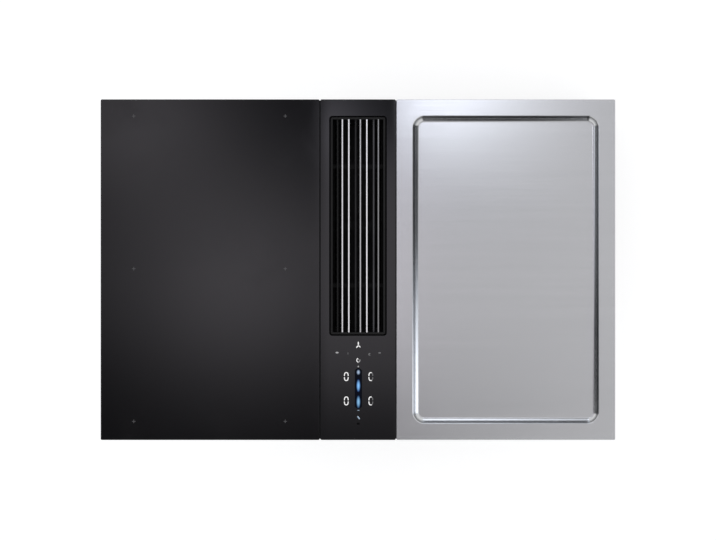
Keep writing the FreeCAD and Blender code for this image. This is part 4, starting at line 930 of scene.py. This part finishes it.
grip = dict(reach=30.0, drop=9.0, points=25, full=1.06, power=8,
            section=((-3.6, -0.3), (3.6, -0.3), (3.4, 4.0), (2.2, 6.2), (0.2, 6.6), (-1.2, 5.4), (-2.0, 3.2),
                     (-3.2, 1.4)))


def buildTrayGrip():
    # finger lip on the front of the drip tray: a hooked section that fades out at both ends
    low, high = np.array(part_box("drip_tray")) / mm
    t = np.linspace(-1, 1, grip["points"])
    level = np.full_like(t, high[2] - grip["drop"])
    path = np.column_stack([t * grip["reach"], np.full_like(t, low[1]), level])
    fade = np.sqrt(np.minimum(grip["full"] - t ** grip["power"], 1))
    part = swept(path, (0, 0, 1), (0, -1, 0), grip["section"], fade)
    putPiece("tray_grip", [part], "trayPlastic", "drip_drawer")


buildCaseScrews()
buildScrollBosses()
buildBoxRibs()
buildTrayGrip()
print("fasteners and moulded details built")


# studio: a lit card overhead, flags for the walls of the griddle, floor and world, all in metres

def gridSheet(name, spanX, spanY, z, counts):
    # a flat grid of points in plan
    xs, ys = np.meshgrid(np.linspace(*spanX, counts[0]), np.linspace(*spanY, counts[1]), indexing="ij")
    verts = np.stack([xs, ys, np.full_like(xs, z)], -1).reshape(-1, 3)
    i, j = np.meshgrid(np.arange(counts[0] - 1), np.arange(counts[1] - 1), indexing="ij")
    here, beside = i * counts[1] + j, (i + 1) * counts[1] + j
    faces = np.stack([here, beside, beside + 1, here + 1], -1).reshape(-1, 4)
    mesh = bpy.data.meshes.new(name)
    mesh.from_pydata(verts.tolist(), [], faces.tolist())
    mesh.update()
    sheet = bpy.data.objects.new(name, mesh)
    scene.collection.objects.link(sheet)
    return sheet, verts


def pointColours(sheet, name, colours):
    attribute = sheet.data.attributes.new(name, "FLOAT_COLOR", "POINT")
    filled = np.column_stack([colours, np.ones(len(colours))])
    attribute.data.foreach_set("color", filled.astype(np.float32).ravel())


def readColours(tree, name):
    return addNode(tree, "Attribute", attribute_name=name).outputs["Color"]


def lightSheet(sheet, colours):
    # the sheet gives off its points' colours, and the camera doesn't see it
    pointColours(sheet, "glow", colours)
    material, tree = emptyMaterial(sheet.name + "Light")
    light = addNode(tree, "Emission")
    tone = readColours(tree, "glow")
    wire(tone, light.inputs["Color"])
    showSurface(light)
    sheet.data.materials.append(material)
    sheet.visible_camera = False
    return light, tone


# each plate's light is a base and humps: a hump's height, its place in x and y, and its half widths
# panelRun is a long light along the panel: its height, middle and half length
# toPanel and toSteel are where one plate's light gives way to the next one's
card = dict(
    height=1.2, x=(-0.56, 0.56), y=(-0.40, 0.46), points=(113, 87),
    glass=dict(base=0.05, humps=((1.02, -0.2, -0.01, 0.2, 0.18), (0.88, -0.37, 0.25, 0.16, 0.14),
                                 (0.12, -0.41, 0.0, 0.06, 0.12))),
    panel=dict(base=0.12, humps=((0.55, -0.05, 0.24, 0.05, 0.06), (-0.28, 0.05, 0.25, 0.05, 0.07),
                                 (-0.14, 0.056, 0.25, 0.01, 0.1))),
    panelRun=(0.82, 0.04, 0.25),
    steel=dict(base=0.75, humps=((3.15, 0.06, 0.305, 0.18, 0.075), (-0.26, 0.05, -0.3, 0.2, 0.14),
                                 (-0.11, 0.3, -0.3, 0.2, 0.14), (-0.2, 0.45, 0.3, 0.1, 0.07),
                                 (0.11, 0.33, 0.2, 0.08, 0.06), (-0.08, 0.06, 0.0, 0.06, 0.12),
                                 (-0.09, 0.2, 0.13, 0.18, 0.06))),
    toPanel=(-0.07, -0.048), toSteel=(0.062, 0.074), tint=(0.985, 0.98, 1.005), blackTint=(1.02, 0.97, 1.03),
    coolTint=(0.93, 0.97, 1.08), coolHump=(0.09, 0.32, 0.22, 0.16))


def softHump(verts, x, y, wide, deep):
    # bell curve in plan
    return np.exp(-((verts[:, 0] - x) / wide) ** 2 - ((verts[:, 1] - y) / deep) ** 2)


def humpSum(verts, base, humps):
    return base + sum(height * softHump(verts, *place) for height, *place in humps)


def softStep(values, low, high):
    # smooth rise from 0 to 1 between low and high
    t = np.clip((values - low) / (high - low), 0, 1)
    return t * t * (3 - 2 * t)


def buildLightCard():
    # the card's brightness in plan, as the glass, the panel and the griddle reflect it straight up
    sheet, verts = gridSheet("lightCard", card["x"], card["y"], card["height"], card["points"])
    x, y = verts[:, 0], verts[:, 1]
    runHeight, runMiddle, runHalf = card["panelRun"]
    overGlass = humpSum(verts, **card["glass"])
    overPanel = humpSum(verts, **card["panel"]) + runHeight * np.exp(-((y - runMiddle) / runHalf) ** 4)
    overSteel = humpSum(verts, **card["steel"])
    toPanel = softStep(x, *card["toPanel"])
    toSteel = softStep(x, *card["toSteel"])
    overBlack = overGlass * (1 - toPanel) + overPanel * toPanel
    values = np.maximum(overBlack * (1 - toSteel) + overSteel * toSteel, 0.0)
    cool = softHump(verts, *card["coolHump"])[:, None]  # the griddle's bright corner is a little blue
    tint = np.array(card["tint"]) * (1 - cool) + np.array(card["coolTint"]) * cool
    tint = np.where((x < card["toSteel"][0])[:, None], tint * np.array(card["blackTint"]), tint)
    lightSheet(sheet, values[:, None] * tint)


# a slanted flag for each wall of the griddle's well, on the side that the wall faces
# it runs along one axis between its ends, and stands on one side of the other
# foot and head are a distance out and a height; tones run along it, rises from foot, 0, to head, 1
# floorTone scales what the floor of the well sees of it
flags = {
    "flagFront": dict(along=0, side=-1, ends=(0.02, 0.44), foot=(0.95, 0.04), head=(0.405, 1.19),
                      tones=((0.02, 1.0), (0.06, 0.04), (0.4, 0.02), (0.44, 1.0)), rises=((0, 1), (1, 1)),
                      floorTone=1.0),
    "flagRight": dict(along=1, side=1, ends=(-0.34, 0.34), foot=(1.10, 0.04), head=(0.565, 1.19),
                      tones=((-0.34, 1.0), (-0.28, 2.9), (-0.15, 2.2), (-0.08, 1.1), (0.02, 0.06),
                             (0.28, 0.05), (0.34, 1.0)), rises=((0, 1), (1, 1)), floorTone=0.7),
    "flagLeft": dict(along=1, side=-1, ends=(-0.34, 0.34), foot=(1.10, 0.05), head=(0.565, 1.19),
                     tones=((-0.34, 1.0), (-0.28, 0.03), (-0.08, 0.05), (0.12, 1.0), (0.34, 1.0)),
                     rises=((0, 0.1), (0.35, 0.15), (0.75, 1.0), (1, 1.1)), floorTone=1.0),
    "flagRear": dict(along=0, side=1, ends=(0.0, 0.48), foot=(0.95, 0.04), head=(0.465, 1.19),
                     tones=((0.0, 1.0), (0.06, 2.6), (0.2, 2.2), (0.4, 0.9), (0.48, 1.0)),
                     rises=((0, 0.04), (0.14, 0.05), (0.2, 1.2), (0.5, 1), (0.68, 0.3), (1, 0.3)),
                     floorTone=0.04),
}
flagSheet = dict(points=(69, 41), tint=(0.92, 0.965, 1.05))
# the well's edge lies margin inside the plate's; a flag shows from inside it to outside it
well = dict(margin=24.3 * mm, inside=60.0 * mm, fillet=8.5 * mm, outside=14.0 * mm, soft=3.0 * mm)


def leanOut(sheet, verts, flag):
    # carries a flat sheet's second coordinate up a slope from foot to head
    along, (footOut, footHigh), (headOut, headHigh) = flag["along"], flag["foot"], flag["head"]
    leaning = np.empty_like(verts)
    leaning[:, along] = verts[:, 0]
    leaning[:, 1 - along] = flag["side"] * (footOut + (headOut - footOut) * verts[:, 1])
    leaning[:, 2] = footHigh + (headHigh - footHigh) * verts[:, 1]
    sheet.data.vertices.foreach_set("co", leaning.astype(np.float32).ravel())
    sheet.data.update()
    return leaning


def reachOf(points, flag):
    # lengths of rays from the wall across the well: from the floor before it, its foot and its rim
    across = 1 - flag["along"]
    farEdge = griddleHigh[across] - well["margin"]
    nearEdge = griddleLow[across] + well["margin"]
    level = np.abs(points[:, across] - (farEdge if flag["side"] < 0 else nearEdge))
    length = np.hypot(level, points[:, 2])
    shifts = (-well["inside"], -well["fillet"], well["outside"])
    return np.column_stack([length + shift * level / length for shift in shifts])


def keepToWall(sheet, reach, floorTone, light, tone):
    # a ray of another length than those from the wall finds the flag as white as the world round it
    pointColours(sheet, "reach", reach)
    length = addNode(light.id_data, "LightPath").outputs["Ray Length"]
    places = axisParts(readColours(light.id_data, "reach"))
    beyond = [sums("SUBTRACT", length, place) for place in places]
    onFloor, onWall, outside = [sums("DIVIDE", gap, well["soft"], clamp=True) for gap in beyond]
    tone = blendColours(onWall, scaledBy(tone, floorTone), tone)
    shown = sums("MULTIPLY", onFloor, sums("SUBTRACT", 1.0, outside))
    wire(blendColours(shown, (1, 1, 1), tone), light.inputs["Color"])


def buildFlags():
    # only reflections see the flags: they put the light and dark runs into the walls of the griddle
    for name, flag in flags.items():
        sheet, verts = gridSheet(name, flag["ends"], unit, 0.0, flagSheet["points"])
        reach = reachOf(leanOut(sheet, verts, flag), flag)
        values = np.interp(verts[:, 0], *zip(*flag["tones"])) * np.interp(verts[:, 1], *zip(*flag["rises"]))
        lit = lightSheet(sheet, values[:, None] * np.array(flagSheet["tint"]))
        keepToWall(sheet, reach, flag["floorTone"], *lit)
        sheet.visible_diffuse = False
        sheet.visible_transmission = False
        sheet.visible_shadow = False


def seenRays(tree):
    # 1 for what is seen straight, in a reflection or through glass, and 0 for light that falls on a surface
    path = addNode(tree, "LightPath").outputs
    reflected = sums("MAXIMUM", path["Is Glossy Ray"], path["Is Transmission Ray"])
    return sums("MAXIMUM", path["Is Camera Ray"], reflected)


def chooseShader(factor, first, second):
    choice = addNode(factor.id_data, "MixShader")
    for source, socket in zip((factor, first.outputs[0], second.outputs[0]), choice.inputs):
        wire(source, socket)
    return choice


floor = dict(span=(-20.0, 20.0), points=(3, 3), drop=1.0 * mm, white=(0.6, 0.6, 0.6), patches=3.0,
             patchGain=1.01, lift=0.74)


def buildFloor():
    level = cadBox[0][2] - floor["drop"]
    sheet = gridSheet("studioFloor", floor["span"], floor["span"], level, floor["points"])[0]
    material, tree = emptyMaterial("floorPaint")
    coords = addNode(tree, "TexCoord").outputs["Object"]
    patches = pattern("Noise", coords, {"Scale": floor["patches"]}).outputs["Fac"]
    diffuse = addNode(tree, "BsdfDiffuse")
    paint(diffuse, patches, floor["white"], times(floor["white"], floor["patchGain"]), "Color")
    lift = addNode(tree, "Emission")
    wire(sums("MULTIPLY", seenRays(tree), floor["lift"]), lift.inputs["Strength"])
    both = addNode(tree, "AddShader")
    wire(diffuse.outputs[0], both.inputs[0])
    wire(lift.outputs[0], both.inputs[1])
    below = addNode(tree, "NewGeometry").outputs["Backfacing"]  # clear from below
    showSurface(chooseShader(below, both, addNode(tree, "BsdfTransparent")))
    sheet.data.materials.append(material)


sky = {
    "fill": dict(Color=(0.97, 0.98, 1.0, 1), Strength=0.6),
    "seen": dict(Color=(1, 1, 1, 1), Strength=1.0),
}


def buildWorld():
    world = bpy.data.worlds.new("studioWorld")
    scene.world = world
    world.use_nodes = True
    tree = world.node_tree
    tree.nodes.clear()
    fill = addNode(tree, "Background", sky["fill"])
    white = addNode(tree, "Background", sky["seen"])
    choice = chooseShader(seenRays(tree), fill, white)
    wire(choice.outputs[0], addNode(tree, "OutputWorld").inputs["Surface"])


view = dict(lens=400.0, sensor=36.0, frameWidth=1.0824, aimY=-0.0005, clipEnd=60.0)


def buildCamera():
    camera = bpy.data.cameras.new("topCamera")
    camera.lens = view["lens"]
    camera.sensor_width = view["sensor"]
    camera.clip_end = view["clipEnd"]
    holder = bpy.data.objects.new("topCamera", camera)
    scene.collection.objects.link(holder)
    distance = view["frameWidth"] * view["lens"] / view["sensor"]
    holder.location = (0, view["aimY"], plateTop + distance)
    holder.rotation_euler = (0, 0, 0)  # straight down, rear of the cooktop at the top of the picture
    scene.camera = holder


buildLightCard()
buildFlags()
buildFloor()
buildWorld()
buildCamera()
scene.view_settings.view_transform = "Standard"
print("studio ready")
